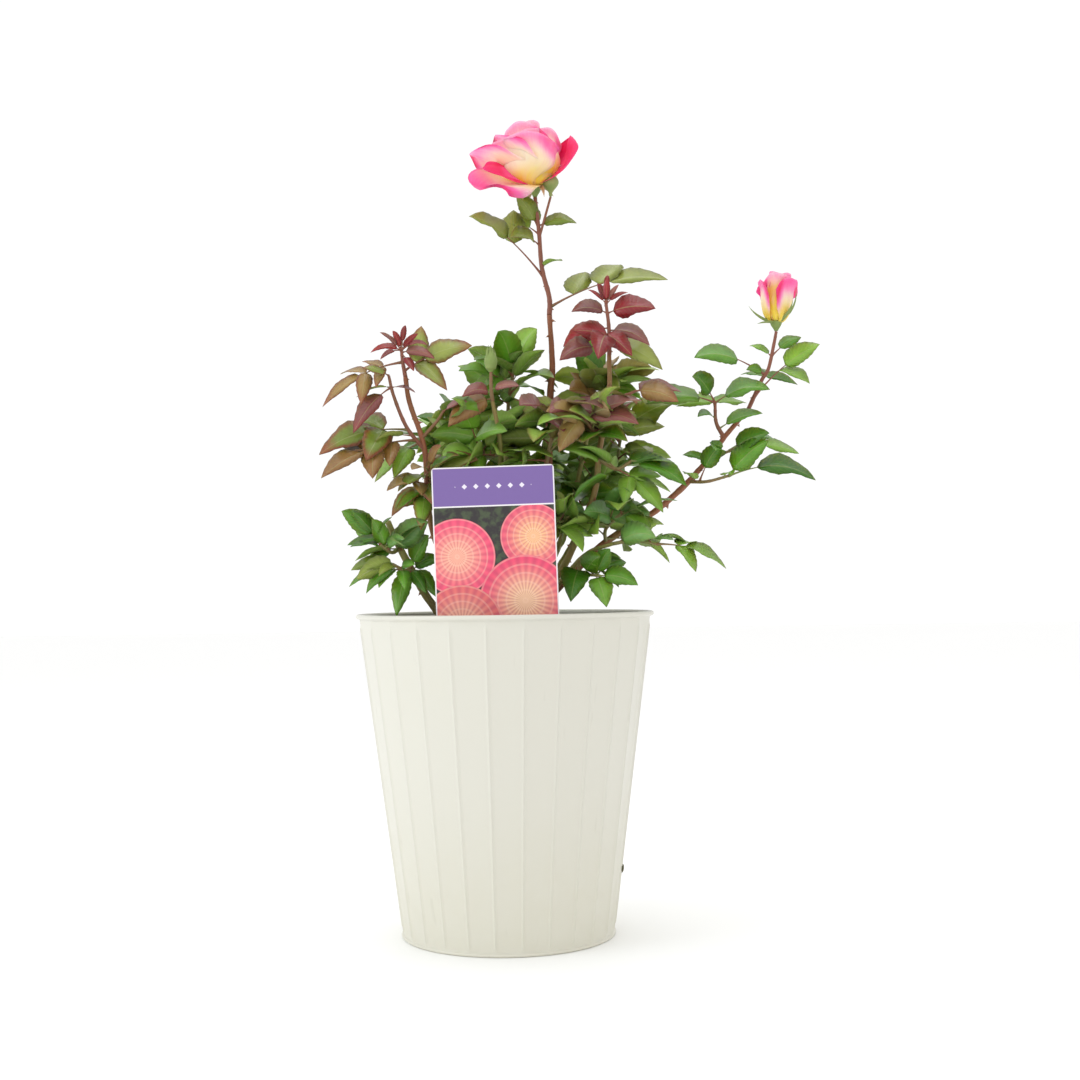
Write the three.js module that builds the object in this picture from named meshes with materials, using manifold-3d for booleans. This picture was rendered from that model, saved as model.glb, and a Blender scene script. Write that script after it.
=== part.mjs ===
// A shrub rose in bloom, growing in a ribbed sheet-metal pot with a picture label stuck in the soil.
// Millimetres, +Z up, origin at the centre of the pot's flat underside. -Y is the front, +X the right.
import * as THREE from "three";
import { mergeVertices } from "three/addons/utils/BufferGeometryUtils.js";
import Module from "manifold-3d";

const wasm = await Module();
wasm.setup();

// Driving dimensions of the pot, the soil and the label
const GAP = 0.3;
const LATTICE = 0.001;
const ROUNDINGS = [1e-3, 1e-4];
const POT_HEIGHT = 268;
const RIM_RADIUS = 125;
const FOOT_RADIUS = 88;
const WALL = 1.2;
const BEAD = 2;
const STAVES = 26;
const SEGMENTS = 2 * STAVES;
const RIB = { width: 1.8, proud: 0.8, sunk: 0.5, low: 6, below_rim: 10 };
const SEAM = { bearing: -17, width: 7, proud: 0.6 };
const SOIL_TOP = 260;
const PLUG = { height: 54, bearing: -7, head: 3.6, rim: 0.5, shank: 2, dome: 1.6, sides: 12 };
const LABEL = { width: 96, top: 384, bottom: 262, x: -5.5, y: -95, lean: 1.4, thickness: 0.8, corner: 3 };
const STAKE = { width: 22, point: 6, depth: 55 };
const FLOOR = 1.6;

// The union is the short swollen foot that the canes spring from.
const UNION = { x: 18, y: 0, height: 24, foot: 17, belly: 19, top: 9 };

// A cane is a tapering limb: its foot and tip radius, and the bends of its axis.
const CANES = [
  {
    name: "cane_tall", radii: [4, 2.3],
    path: [[20, 2, 270], [36, 6, 345], [40, 8, 441], [43, 8, 477], [41, 5, 520]],
  },
  {
    name: "cane_right_tip", radii: [3.3, 2],
    path: [[24, -5, 270], [52, -24, 311], [74, -38, 364], [79, -42, 400], [87, -45, 443], [88, -45, 478]],
  },
  {
    name: "cane_left_tip", radii: [3.2, 1.9],
    path: [
      [10, -6, 270], [-45, -28, 310], [-60, -40, 345], [-64, -42, 402], [-76, -42, 442], [-79, -42, 462],
    ],
  },
  {
    name: "cane_long_right", radii: [4, 2.2],
    path: [[28, -2, 270], [80, -12, 322], [128, -20, 352], [160, -20, 381], [187, -20, 414], [205, -20, 434]],
  },
  {
    name: "cane_mid_left", radii: [2.7, 1.7],
    path: [[12, -8, 272], [-3, -36, 350], [-2, -50, 404], [-8, -50, 440]],
  },
  {
    name: "cane_low_right", radii: [2.5, 1.6],
    path: [[26, -10, 268], [52, -38, 300], [68, -50, 316], [88, -58, 323]],
  },
  {
    name: "cane_left_low", radii: [3.7, 2.6],
    path: [[-43, -46, 255], [-64, -50, 284], [-84, -58, 322], [-93, -62, 343]],
  },
  {
    name: "cane_centre", radii: [3, 1.8],
    path: [[20, -9, 272], [26, -34, 330], [34, -44, 385]],
  },
  {
    name: "cane_high_left", radii: [3.1, 1.8],
    path: [[14, 5, 272], [2, 22, 350], [4, 18, 430]],
  },
  {
    name: "cane_high_right", radii: [3.1, 1.8],
    path: [[25, 6, 272], [56, 24, 350], [74, 16, 425]],
  },
  {
    name: "cane_back_left", radii: [3, 1.8],
    path: [[12, 8, 270], [-18, 48, 330], [-38, 66, 385]],
  },
  {
    name: "cane_back_right", radii: [3, 1.8],
    path: [[25, 9, 270], [62, 52, 330], [92, 62, 380]],
  },
  {
    name: "cane_back", radii: [2.9, 1.8],
    path: [[19, 11, 270], [22, 62, 315], [26, 88, 355]],
  },
];

const CANE_SIDES = 6;
const STEM_SIDES = 4;

// Growth rule of the leaves. A spiral deals leaves from its start to the tip of the stem, a turn apart;
// the climb, reach and size of each are a least value and a spread.
const TURN = 137.5;
const SPIRAL = { start: 0.06, climb: [-12, 62], reach: [0.85, 0.35], size: [0.85, 0.3], lean: 35 };
const ARCH = 0.16;
const STRETCH = 1.05;
const LEAST_STALK = 0.12;
const LOWEST_PAIR = 0.1;
const PAIR_ANGLE = 62;
const FIRST_PAIR = 0.16;
const PAIR_STEP = 0.44;
const PAIR_SIZE = [0.84];
const BLADE_WIDTH = 0.64;
const GROWN = 36;
const OUTLINE = [[0.26, 0.9], [0.62, 0.86]];
const PLAIN_OUTLINE = [[0.42, 1.12]];
const BLADE_DROOP = 0.14;
const STALK_RADIUS = 1;
const SIDE_ROOT = 0.1;
const FOLD = 0.16;
const FRONT = -90;

// A leaf springs from its stem at a share of the way along and reaches to its tip at x, y, z. It has a
// terminal leaflet of that size, a number of leaflets, and a lean from the sky towards the front. sides
// is 1 or -1 where it has lost the leaflets of one side.
function leaf(at, x, y, z, size, leaflets, lean, sides = 0) {
  return { at, tip: new THREE.Vector3(x, y, z), size, leaflets, lean, bearing: FRONT, sides };
}

// A shoot is one mass of leaves on one stem: its cane, the share along it where it springs, its foot
// and tip radius, the bends of its axis, its placed leaves, and the leaves dealt round it by rule.
const SHOOTS = [
  {
    name: "shoot_bloom", cane: "cane_tall", from: 1, radii: [2.3, 1.6],
    path: [[41, 4, 535], [35, 2, 560], [33, 0, 589], [30, -2, 619]],
    leaves: [
      leaf(0.12, 141, -10, 550, 54, 5, 58, 1),
      leaf(0.42, -26, -22, 603, 46, 3, 48, -1),
      leaf(0.5, 52, -16, 563, 30, 1, 35),
      leaf(0.66, 8, -30, 584, 34, 1, 66),
      leaf(0.8, 65, -5, 601, 34, 1, 50),
      leaf(0.74, 2, 12, 606, 30, 1, 45),
      leaf(0.78, 13, -8, 620, 32, 1, 75),
    ],
    buds: [{ at: 0.72, x: 45, y: 2, z: 625, length: 15, radius: 4.5 }],
  },
  {
    name: "shoot_right_tip", cane: "cane_right_tip", from: 1, radii: [1.9, 1.3],
    path: [[88, -45, 500], [86, -45, 520]],
    leaves: [
      leaf(1, 79, -44, 540, 20, 1, 70),
      leaf(1, 87, -48, 542, 22, 1, 80),
      leaf(1, 97, -42, 537, 20, 1, 60),
      leaf(0.8, 57, -55, 516, 30, 3, 35),
      leaf(0.8, 125, -60, 514, 42, 3, 50),
      leaf(0.5, 50, -52, 484, 38, 3, 30),
      leaf(0.4, 76, -88, 474, 32, 3, 60),
      leaf(0.45, 120, -60, 489, 34, 3, 35),
      leaf(0.15, 131, -50, 471, 40, 3, 45),
    ],
  },
  {
    name: "shoot_left_tip", cane: "cane_left_tip", from: 1, radii: [1.8, 1.3],
    path: [[-81, -42, 474], [-82, -42, 484]],
    leaves: [
      leaf(1, -107, -46, 486, 26, 1, 50),
      leaf(1, -89, -42, 502, 18, 1, 60),
      leaf(1, -68, -40, 498, 22, 1, 60),
      leaf(0.9, -54, -48, 480, 28, 1, 45),
      leaf(0.8, -71, -60, 464, 20, 1, 60),
      leaf(0.5, -146, -50, 442, 36, 5, 40),
      leaf(0.2, -24, -50, 486, 44, 3, 45),
    ],
  },
  {
    name: "spray_left_outer", cane: "cane_left_tip", from: 0.6, radii: [1.8, 1.2],
    path: [[-78, -48, 420], [-88, -50, 445], [-92, -50, 462]],
    leaves: [
      leaf(1, -113, -56, 468, 22, 3, 50),
      leaf(0.8, -120, -62, 419, 36, 1, 30),
      leaf(0.8, -119, -45, 448, 28, 1, 10),
      leaf(0.8, -70, -58, 448, 26, 1, 15),
      leaf(0.3, -148, -58, 402, 48, 5, 40),
      leaf(0.15, -144, -80, 380, 42, 5, 40),
      leaf(0.1, -106, -30, 378, 36, 3, 30),
    ],
  },
  {
    name: "spray_left_inner", cane: "cane_left_tip", from: 0.64, radii: [1.6, 1.1],
    path: [[-54, -47, 424], [-48, -52, 432]],
    leaves: [
      leaf(1, -28, -62, 441, 34, 3, 45),
      leaf(0.6, -50, -10, 420, 38, 5, 30),
    ],
  },
  {
    name: "spray_left_mid", cane: "cane_left_tip", from: 0.48, radii: [1.6, 1.1],
    path: [[-62, -54, 376], [-60, -60, 386]],
    leaves: [
      leaf(1, -49, -76, 404, 34, 3, 60),
      leaf(0.7, -84, -74, 368, 34, 3, 45),
      leaf(0.2, -90, -62, 350, 34, 3, 35),
      leaf(0.5, -20, -62, 395, 36, 5, 40),
    ],
  },
  {
    name: "spray_low_left", cane: "cane_left_low", from: 0.66, radii: [1.8, 1.2],
    path: [[-90, -70, 318], [-98, -76, 324]],
    leaves: [
      leaf(1, -129, -72, 354, 36, 3, 50),
      leaf(0.9, -119, -60, 335, 38, 1, 45),
      leaf(0.4, -60, -74, 344, 38, 3, 60),
      leaf(0.9, -121, -88, 323, 42, 1, 30),
    ],
  },
  {
    name: "spray_low_left_hang", cane: "cane_left_low", from: 0.5, radii: [1.7, 1.1],
    path: [[-80, -70, 304], [-88, -78, 308]],
    leaves: [
      leaf(0.9, -121, -82, 307, 42, 3, 35),
      leaf(0.9, -109, -84, 290, 32, 1, 55),
      leaf(0.6, -78, -92, 290, 34, 1, 70),
      leaf(0.3, -86, -76, 272, 30, 3, 50),
    ],
  },
  {
    name: "shoot_mid_left", cane: "cane_mid_left", from: 1, radii: [1.7, 1.3],
    path: [[-9, -50, 452], [-9, -50, 464]],
    leaves: [
      leaf(0.3, -32, -66, 447, 32, 3, 20),
      leaf(0.4, 14, -64, 452, 30, 1, 20),
      leaf(0.1, -44, -62, 424, 40, 3, 35),
    ],
    buds: [{ at: 1, x: -9, y: -50, z: 486, length: 22, radius: 5.5 }],
  },
  {
    name: "shoot_long_tip", cane: "cane_long_right", from: 1, radii: [2.1, 1.6],
    path: [[217, -20, 459], [223, -20, 469], [228, -20, 490], [230, -20, 499.8]],
    leaves: [
      leaf(0.1, 264, -32, 487, 38, 3, 40, -1),
      leaf(0.35, 158, -42, 481, 44, 1, 45),
      leaf(0.35, 202, -34, 468, 20, 1, 75),
      leaf(0.62, 253, -10, 497, 26, 1, 45),
      leaf(0.62, 208, -14, 491, 22, 1, 35),
      leaf(0.15, 240, 34, 474, 34, 3, 35),
    ],
  },
  {
    name: "spray_long_mid", cane: "cane_long_right", from: 0.78, radii: [1.9, 1.2],
    path: [[178, -22, 424], [177, -25, 440]],
    leaves: [
      leaf(1, 155, -50, 464, 34, 1, 60),
      leaf(1, 118, -40, 443, 50, 3, 40),
      leaf(1, 220, -42, 455, 42, 1, 40),
      leaf(0.6, 160, -42, 430, 24, 1, 30),
      leaf(0.3, 215, -34, 430, 34, 3, 25),
      leaf(0.8, 180, 36, 452, 40, 5, 30),
    ],
  },
  {
    name: "spray_long_upper", cane: "cane_long_right", from: 0.66, radii: [1.6, 1.1],
    path: [[178, -26, 396], [190, -28, 400]],
    leaves: [
      leaf(0.6, 172, -56, 401, 30, 1, 70),
      leaf(1, 218, -48, 412, 42, 1, 68),
      leaf(1, 249, -12, 400, 34, 1, 40),
      leaf(0.1, 150, -16, 398, 28, 1, 40),
      leaf(0.9, 234, 10, 415, 34, 1, 35),
    ],
  },
  {
    name: "spray_long_low", cane: "cane_long_right", from: 0.56, radii: [1.6, 1.1],
    path: [[168, -32, 374], [185, -38, 378]],
    leaves: [
      leaf(1, 254, -54, 382, 50, 1, 40),
      leaf(0.9, 184, -64, 379, 24, 1, 55),
      leaf(0.2, 148, -48, 383, 28, 1, 35),
    ],
  },
  {
    name: "shoot_low_right", cane: "cane_low_right", from: 1, radii: [1.6, 1.1],
    path: [[104, -62, 325], [122, -66, 322]],
    leaves: [
      leaf(0.1, 121, -78, 333, 42, 1, 60),
      leaf(1, 178, -66, 305, 36, 5, 28),
      leaf(0.3, 130, -52, 345, 36, 3, 40),
    ],
  },
  {
    name: "spray_rim_right", cane: "cane_low_right", from: 0.5, radii: [1.6, 1.1],
    path: [[62, -58, 300], [76, -70, 297]],
    leaves: [
      leaf(1, 106, -76, 291, 32, 3, 70),
      leaf(0.9, 80, -86, 274, 32, 1, 70),
      leaf(0.9, 84, -78, 320, 28, 1, 75),
      leaf(0.6, 76, -84, 313, 36, 1, 70),
      leaf(0.3, 52, -82, 282, 36, 3, 60),
    ],
  },
  {
    name: "spray_right_bronze", cane: "cane_right_tip", from: 0.8, radii: [1.7, 1.1],
    path: [[100, -50, 444], [108, -52, 447]],
    leaves: [
      leaf(1, 142, -64, 438, 40, 3, 60),
      leaf(0.9, 148, -38, 449, 44, 3, 40),
      leaf(0.3, 80, -76, 425, 36, 3, 50),
    ],
  },
  {
    name: "spray_right_low", cane: "cane_right_tip", from: 0.56, radii: [1.7, 1.1],
    path: [[92, -50, 384], [104, -54, 390]],
    leaves: [
      leaf(1, 148, -62, 372, 48, 5, 40),
      leaf(0.8, 128, -50, 396, 34, 3, 40),
      leaf(0.5, 128, -66, 350, 34, 3, 45),
      leaf(0.2, 50, -70, 400, 38, 5, 45),
    ],
  },
  {
    name: "shoot_high_left", cane: "cane_high_left", from: 1, radii: [1.8, 1.2],
    path: [[6, 10, 452], [10, 2, 472]],
    leaves: [
      leaf(1, -3, -22, 508, 44, 3, 60),
      leaf(1, 30, -8, 513, 40, 3, 60),
      leaf(0.7, -36, -24, 472, 36, 3, 45),
    ],
    spiral: { count: 5, first: 40, reach: 58, size: 44, seed: 11 },
  },
  {
    name: "shoot_high_right", cane: "cane_high_right", from: 1, radii: [1.8, 1.2],
    path: [[80, 10, 445], [86, 4, 462]],
    leaves: [
      leaf(1, 62, -6, 500, 40, 3, 50),
      leaf(0.8, 118, -4, 452, 40, 3, 40),
    ],
    spiral: { count: 6, first: 70, reach: 58, size: 44, seed: 23 },
  },
  {
    name: "shoot_centre", cane: "cane_centre", from: 1, radii: [1.8, 1.2],
    path: [[40, -50, 412], [44, -50, 436]],
    leaves: [],
    spiral: { count: 8, first: 200, reach: 58, size: 44, seed: 5 },
  },
  {
    name: "shoot_back_left", cane: "cane_back_left", from: 1, radii: [1.8, 1.2],
    path: [[-46, 70, 410], [-50, 68, 432]],
    leaves: [],
    spiral: { count: 6, first: 90, reach: 62, size: 46, seed: 31 },
  },
  {
    name: "shoot_back_right", cane: "cane_back_right", from: 1, radii: [1.8, 1.2],
    path: [[102, 64, 404], [104, 60, 428]],
    leaves: [],
    spiral: { count: 6, first: 10, reach: 62, size: 46, seed: 47 },
  },
  {
    name: "shoot_back", cane: "cane_back", from: 1, radii: [1.8, 1.2],
    path: [[28, 92, 380], [28, 90, 408]],
    leaves: [],
    spiral: { count: 6, first: 60, reach: 62, size: 46, seed: 53 },
  },
  {
    name: "spray_inner_right", cane: "cane_high_right", from: 0.55, radii: [1.7, 1.1],
    path: [[76, 40, 362], [86, 46, 374]],
    leaves: [],
    spiral: { count: 8, first: 330, reach: 58, size: 44, seed: 67 },
  },
  {
    name: "spray_inner_left", cane: "cane_high_left", from: 0.5, radii: [1.7, 1.1],
    path: [[-20, 34, 356], [-30, 38, 372]],
    leaves: [],
    spiral: { count: 6, first: 170, reach: 58, size: 44, seed: 71 },
  },
  {
    name: "spray_inner_front", cane: "cane_centre", from: 0.55, radii: [1.7, 1.1],
    path: [[42, -46, 338], [54, -52, 346]],
    leaves: [],
    spiral: { count: 7, first: 300, reach: 54, size: 42, seed: 83 },
  },
  {
    name: "spray_centre_low", cane: "cane_long_right", from: 0.22, radii: [1.7, 1.1],
    path: [[84, -34, 336], [98, -40, 350]],
    leaves: [],
    spiral: { count: 8, first: 20, reach: 54, size: 42, seed: 97 },
  },
  {
    name: "spray_centre_right", cane: "cane_right_tip", from: 0.66, radii: [1.7, 1.1],
    path: [[72, -66, 414], [64, -78, 424]],
    leaves: [],
    spiral: { count: 7, first: 250, reach: 52, size: 42, seed: 101 },
  },
  {
    name: "spray_left_fill", cane: "cane_mid_left", from: 0.62, radii: [1.6, 1.1],
    path: [[-14, -34, 396], [-24, -28, 410]],
    leaves: [],
    spiral: { count: 5, first: 190, reach: 54, size: 42, seed: 113 },
  },
];

// A bloom: where its hip stands, how far it leans, the hip's radius and length, the outline of its closed
// heart as radius and height, and its outer petals. A petal has a bearing, a length, a width, its slope
// from upright at the foot and at the edge, the cup across its width, and how far one side is raised.
const OPEN_BLOOM = {
  name: "bloom_open", foot: [30, -2, 619.5], lean: -10, hip: 5.5, hipLength: 9,
  heart: [[7, 1], [18, 9], [25, 24], [23, 43], [13, 55]],
  petals: [
    { bearing: 210, length: 54, width: 56, slopes: [78, 18], cup: 0.2 },
    { bearing: 191, length: 61, width: 58, slopes: [82, 52], cup: 0.16, turn: 0.3 },
    { bearing: 112, length: 52, width: 48, slopes: [76, 26], cup: 0.2 },
    { bearing: 42, length: 48, width: 46, slopes: [76, 10], cup: 0.2 },
    { bearing: 355, length: 53, width: 40, slopes: [82, 12], cup: 0.08, turn: 1.4 },
    { bearing: 204, length: 58, width: 52, slopes: [88, 97], cup: 0.1, turn: 0.7 },
  ],
};
const BUD_BLOOM = {
  name: "bloom_bud", foot: [230, -20, 500.5], lean: 2, hip: 5, hipLength: 8,
  heart: [[6, 1], [10.5, 9], [11, 22], [10, 41]],
  petals: [
    { bearing: 203, length: 38, width: 18, slopes: [50, -8], cup: 0.3 },
    { bearing: 330, length: 39, width: 19, slopes: [48, -4], cup: 0.3 },
  ],
};
const PETAL_THICKNESS = 1.4;
const PETAL_NARROW = 0.1;
const PETAL_SPAN = 0.74;
const PETAL_ROOT = 5;
const CUP_DEPTH = 1.6;
const TURN_DEPTH = 0.4;

const COLOURS = {
  pot: 0xe9e7da, soil: 0x2d261e, label: 0x7a5fa0, side_plug: 0x4b4a2c, union: 0x6d5a38,
  cane: 0x7c5c3a, shoot: 0x56792f, bloom: 0xf2a0b4,
};

const UP = new THREE.Vector3(0, 0, 1);
const rad = THREE.MathUtils.degToRad;
const vec = (p) => new THREE.Vector3(...p);

// A closed geometry as a solid that can be joined and cut. Its points are moved to a fine lattice, so
// that none lie almost on each other.
function solid(geometry, lattice = LATTICE) {
  const places = geometry.getAttribute("position").array.map((v) => Math.round(v / lattice) * lattice);
  const bare = new THREE.BufferGeometry().setAttribute("position", new THREE.BufferAttribute(places, 3));
  if (geometry.index) bare.setIndex(geometry.index);
  const merged = mergeVertices(bare, lattice / 4);
  const triVerts = new Uint32Array(merged.index.array);
  const vertProperties = merged.attributes.position.array;
  return new wasm.Manifold(new wasm.Mesh({ numProp: 3, vertProperties, triVerts }));
}

function geometryOf(made) {
  const mesh = made.getMesh();
  return new THREE.BufferGeometry()
    .setAttribute("position", new THREE.BufferAttribute(mesh.vertProperties, 3))
    .setIndex(new THREE.BufferAttribute(mesh.triVerts, 1));
}

const larger = (a, b) => (b.volume() > a.volume() ? b : a);
const largest = (made) => made.decompose().reduce(larger);

// All the solids as one body. What a cut has left loose is dropped and what fusing has sealed is filled.
function joined(solids) {
  return largest(wasm.Manifold.union(solids));
}

// Whether each edge of a solid has just two faces once its points are rounded, coarsely or finely.
const isSimple = (made) => ROUNDINGS.every((step) => hasPairedEdges(made, step));

function hasPairedEdges(made, step) {
  const { vertProperties, triVerts } = made.getMesh();
  const names = new Map();
  const ids = [];
  for (let i = 0; i < vertProperties.length; i += 3) {
    const name = [0, 1, 2].map((k) => Math.trunc(vertProperties[i + k] / step + 0.5)).join();
    if (!names.has(name)) names.set(name, names.size);
    ids.push(names.get(name));
  }
  const faces = new Map();
  for (let i = 0; i < triVerts.length; i += 3) {
    const corners = [0, 1, 2].map((k) => ids[triVerts[i + k]]);
    if (new Set(corners).size < 3) continue;
    corners.forEach((a, k) => {
      const b = corners[(k + 1) % 3];
      const edge = a < b ? a + "," + b : b + "," + a;
      faces.set(edge, (faces.get(edge) ?? 0) + 1);
    });
  }
  return [...faces.values()].every((count) => count === 2);
}

// Parts fused one by one to the first. A part that would pinch a seam, or hangs free, is left out.
function fused([first, ...rest]) {
  return rest.reduce((made, part) => {
    const more = joined([made, part]);
    return isSimple(more) ? more : made;
  }, first);
}

// Rows of points, each a closed loop of the same count, skinned and capped at both ends.
function skin(rows) {
  const count = rows[0].length;
  const index = [];
  for (let r = 0; r + 1 < rows.length; r++)
    for (let k = 0; k < count; k++) {
      const a = r * count + k;
      const b = r * count + ((k + 1) % count);
      index.push(a, b, b + count, a, b + count, a + count);
    }
  const last = (rows.length - 1) * count;
  for (let k = 1; k + 1 < count; k++) index.push(0, k + 1, k, last, last + k, last + k + 1);
  return solid(new THREE.BufferGeometry().setFromPoints(rows.flat()).setIndex(index));
}

// A tapering limb of a few sides along a curve. grow makes the same limb fatter and longer.
function limb(curve, [foot, tip], sides, steps, grow = 0) {
  const rows = [];
  for (let i = 0; i <= steps; i++) {
    const t = i / steps;
    const along = curve.getTangent(t);
    const across = new THREE.Vector3(0, 1, 0).cross(along).normalize();
    const third = along.clone().cross(across);
    const centre = curve.getPoint(t);
    if (i === 0) centre.addScaledVector(along, -grow);
    if (i === steps) centre.addScaledVector(along, grow);
    const radius = THREE.MathUtils.lerp(foot, tip, t) + grow;
    const row = [];
    for (let k = 0; k < sides; k++) {
      const a = (2 * Math.PI * k) / sides;
      const out = across.clone().multiplyScalar(Math.cos(a)).addScaledVector(third, Math.sin(a));
      row.push(centre.clone().addScaledVector(out, radius));
    }
    rows.push(row);
  }
  return skin(rows);
}

const bent = (points) => new THREE.CatmullRomCurve3(points.map(vec), false, "catmullrom", 0.5);

// A repeatable run of numbers from 0 to 1.
function dice(seed) {
  let state = seed;
  return () => (state = (state * 16807) % 2147483647) / 2147483647;
}

// The leaves that a spiral deals round its stem, one a turn further on and higher than the last.
function spiralLeaves(curve, { count, first, reach, size, seed }) {
  const roll = dice(seed);
  const rolled = ([least, spread]) => least + spread * roll();
  const leaves = [];
  for (let i = 0; i < count; i++) {
    const at = SPIRAL.start + ((1 - SPIRAL.start) * (i + 0.5)) / count;
    const bearing = first + TURN * i;
    const climb = rad(rolled(SPIRAL.climb));
    const out = reach * rolled(SPIRAL.reach);
    const tip = curve.getPoint(at);
    tip.x += out * Math.cos(climb) * Math.cos(rad(bearing));
    tip.y += out * Math.cos(climb) * Math.sin(rad(bearing));
    tip.z += out * Math.sin(climb);
    const leaflets = roll() < 0.5 ? 5 : 3;
    const grown = size * rolled(SPIRAL.size);
    leaves.push({ at, tip, size: grown, leaflets, lean: SPIRAL.lean, bearing, sides: 0, plain: true });
  }
  return leaves;
}

// The part of a that is square to b.
const squareTo = (a, b) => a.clone().addScaledVector(b, -a.dot(b)).normalize();

// A leaf's spine and its blades. The spine arches from the stem to the tip. The terminal leaflet takes
// its last stretch, and the pairs stand at steps below that, turned out by the pair angle. Only the
// pairs that have a size here are solids: the small lower ones are within the reach of the first.
function leafPlan(curve, { at, tip, size, leaflets, lean, bearing, sides, plain = false }) {
  const foot = curve.getPoint(at);
  const reach = foot.distanceTo(tip);
  const crest = foot.clone().lerp(tip, 0.5).addScaledVector(UP, ARCH * reach);
  const spine = new THREE.QuadraticBezierCurve3(foot, crest, tip);
  const length = STRETCH * reach;
  const neck = Math.max(LEAST_STALK, 1 - size / length);
  const sky = new THREE.Vector3(
    Math.sin(rad(lean)) * Math.cos(rad(bearing)),
    Math.sin(rad(lean)) * Math.sin(rad(bearing)),
    Math.cos(rad(lean)),
  );
  const blades = [];
  for (let k = 0; k < Math.min((leaflets - 1) / 2, PAIR_SIZE.length); k++) {
    const at = neck - ((FIRST_PAIR + PAIR_STEP * k) * size) / length;
    if (at < LOWEST_PAIR) continue;
    const base = spine.getPoint(at);
    const along = spine.getTangent(at);
    const side = squareTo(sky, along).cross(along);
    for (const hand of [1, -1]) {
      if (sides === -hand) continue;
      const way = along
        .clone()
        .multiplyScalar(Math.cos(rad(PAIR_ANGLE)))
        .addScaledVector(side, hand * Math.sin(rad(PAIR_ANGLE)))
        .addScaledVector(UP, -BLADE_DROOP)
        .normalize();
      blades.push({ base, tip: base.clone().addScaledVector(way, size * PAIR_SIZE[k]), sky });
    }
  }
  return { spine, neck, sky, length: length * (1 - neck), blades, plain };
}

// Half a leaflet's width by its length: short young leaflets are slimmer.
const halfWidth = (length) => (length / 2) * BLADE_WIDTH * (0.55 + 0.45 * Math.min(1, length / GROWN));
const thickness = (length) => Math.max(0.9, length / 45);

// A leaf's stalk and its terminal leaflet as one three-sided skin along the spine: two edges and a keel.
// The stalk swells into the leaflet, whose edges are folded up a little. A leaf that the spiral deals is
// plainer than a placed one. grow makes it larger all round.
function frond({ spine, neck, sky, length, plain }, grow = 0) {
  const bends = plain ? [[0, 1], [neck, 0.7]] : [[0, 1], [neck / 2, 0.85], [neck, 0.7]];
  const stations = bends.map(([t, share]) => ({
    t, half: share * STALK_RADIUS, keel: 1.5 * share * STALK_RADIUS, fold: 0,
  }));
  for (const [s, share] of plain ? PLAIN_OUTLINE : OUTLINE) {
    const half = share * halfWidth(length);
    const fold = FOLD * half;
    stations.push({ t: neck + (1 - neck) * s, half, keel: thickness(length) - fold, fold });
  }
  stations.push({ t: 1, half: 0.2, keel: 0.2, fold: 0 });
  const rows = stations.map(({ t, half, keel, fold }) => {
    const along = spine.getTangent(t);
    const up = squareTo(sky, along);
    const across = up.clone().cross(along);
    const centre = spine.getPoint(t);
    const point = (w, h) => centre.clone().addScaledVector(across, w).addScaledVector(up, h);
    return [point(half + grow, fold + grow), point(-half - grow, fold + grow), point(0, -keel - 2 * grow)];
  });
  return skin(rows);
}

// A side leaflet: a four-sided outline, thickest near its foot and folded up a little along its midrib,
// with its foot sunk to the middle of the stalk. grow makes it larger all round.
function blade({ base, tip, sky }, grow = 0) {
  const along = tip.clone().sub(base);
  const length = along.length();
  along.normalize();
  const up = squareTo(sky, along);
  const across = up.clone().cross(along);
  const half = 1.12 * halfWidth(length) + grow;
  const thick = thickness(length) / 2 + grow;
  const point = (s, w, h) =>
    base.clone().addScaledVector(along, s).addScaledVector(across, w).addScaledVector(up, h);
  const points = [
    point(-SIDE_ROOT, 0, 0),
    point(0.42 * length, -half, FOLD * half),
    point(length + grow, 0, 0),
    point(0.42 * length, half, FOLD * half),
    point(0.32 * length, 0, thick),
    point(0.32 * length, 0, -thick),
  ];
  const index = [];
  for (let k = 0; k < 4; k++) index.push(4, k, (k + 1) % 4, 5, (k + 1) % 4, k);
  return solid(new THREE.BufferGeometry().setFromPoints(points).setIndex(index));
}

// A closed flower bud: a pointed drop in its calyx, with the tips of the sepals standing off it.
function greenBud(curve, { at, x, y, z, length, radius }) {
  const foot = curve.getPoint(at);
  const tip = new THREE.Vector3(x, y, z);
  const base = tip.clone().addScaledVector(UP, -length);
  const stalk = new THREE.QuadraticBezierCurve3(foot, foot.clone().lerp(base, 0.5), base);
  const profile = [[0, -1], [0.5, -0.5], [0.85, 1], [0.55, 2], [1, 4], [0.9, 8], [0.45, 12], [0, 16]];
  const drop = lathe(profile.map(([r, h]) => [radius * r, (length * h) / 16]), 6);
  const parts = [drop.translate(base.toArray())];
  if (foot.distanceTo(base) > 2) parts.push(limb(stalk, [1.1, 1], 4, 3));
  return parts;
}

// Whether a solid comes within the grown margin of anything that stands already.
function touches(made, standing) {
  const a = made.boundingBox();
  return standing.some(({ shape, box: b }) => {
    for (let k = 0; k < 3; k++) if (a.min[k] > b.max[k] || b.min[k] > a.max[k]) return false;
    return made.intersect(shape).volume() > 0;
  });
}

const standing = [];
const group = new THREE.Group();

function add(name, shape, colour, roughness = 0.6, metalness = 0) {
  const material = new THREE.MeshStandardMaterial({ color: colour, roughness, metalness });
  const mesh = new THREE.Mesh(geometryOf(shape), material);
  mesh.name = name;
  group.add(mesh);
  standing.push({ shape, box: shape.boundingBox() });
  return shape;
}

const turned = (points, segments) =>
  new THREE.LatheGeometry(points.map(([r, z]) => new THREE.Vector2(r, z)), segments);
const lathe = (points, segments) => solid(turned(points, segments).rotateX(Math.PI / 2));

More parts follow.
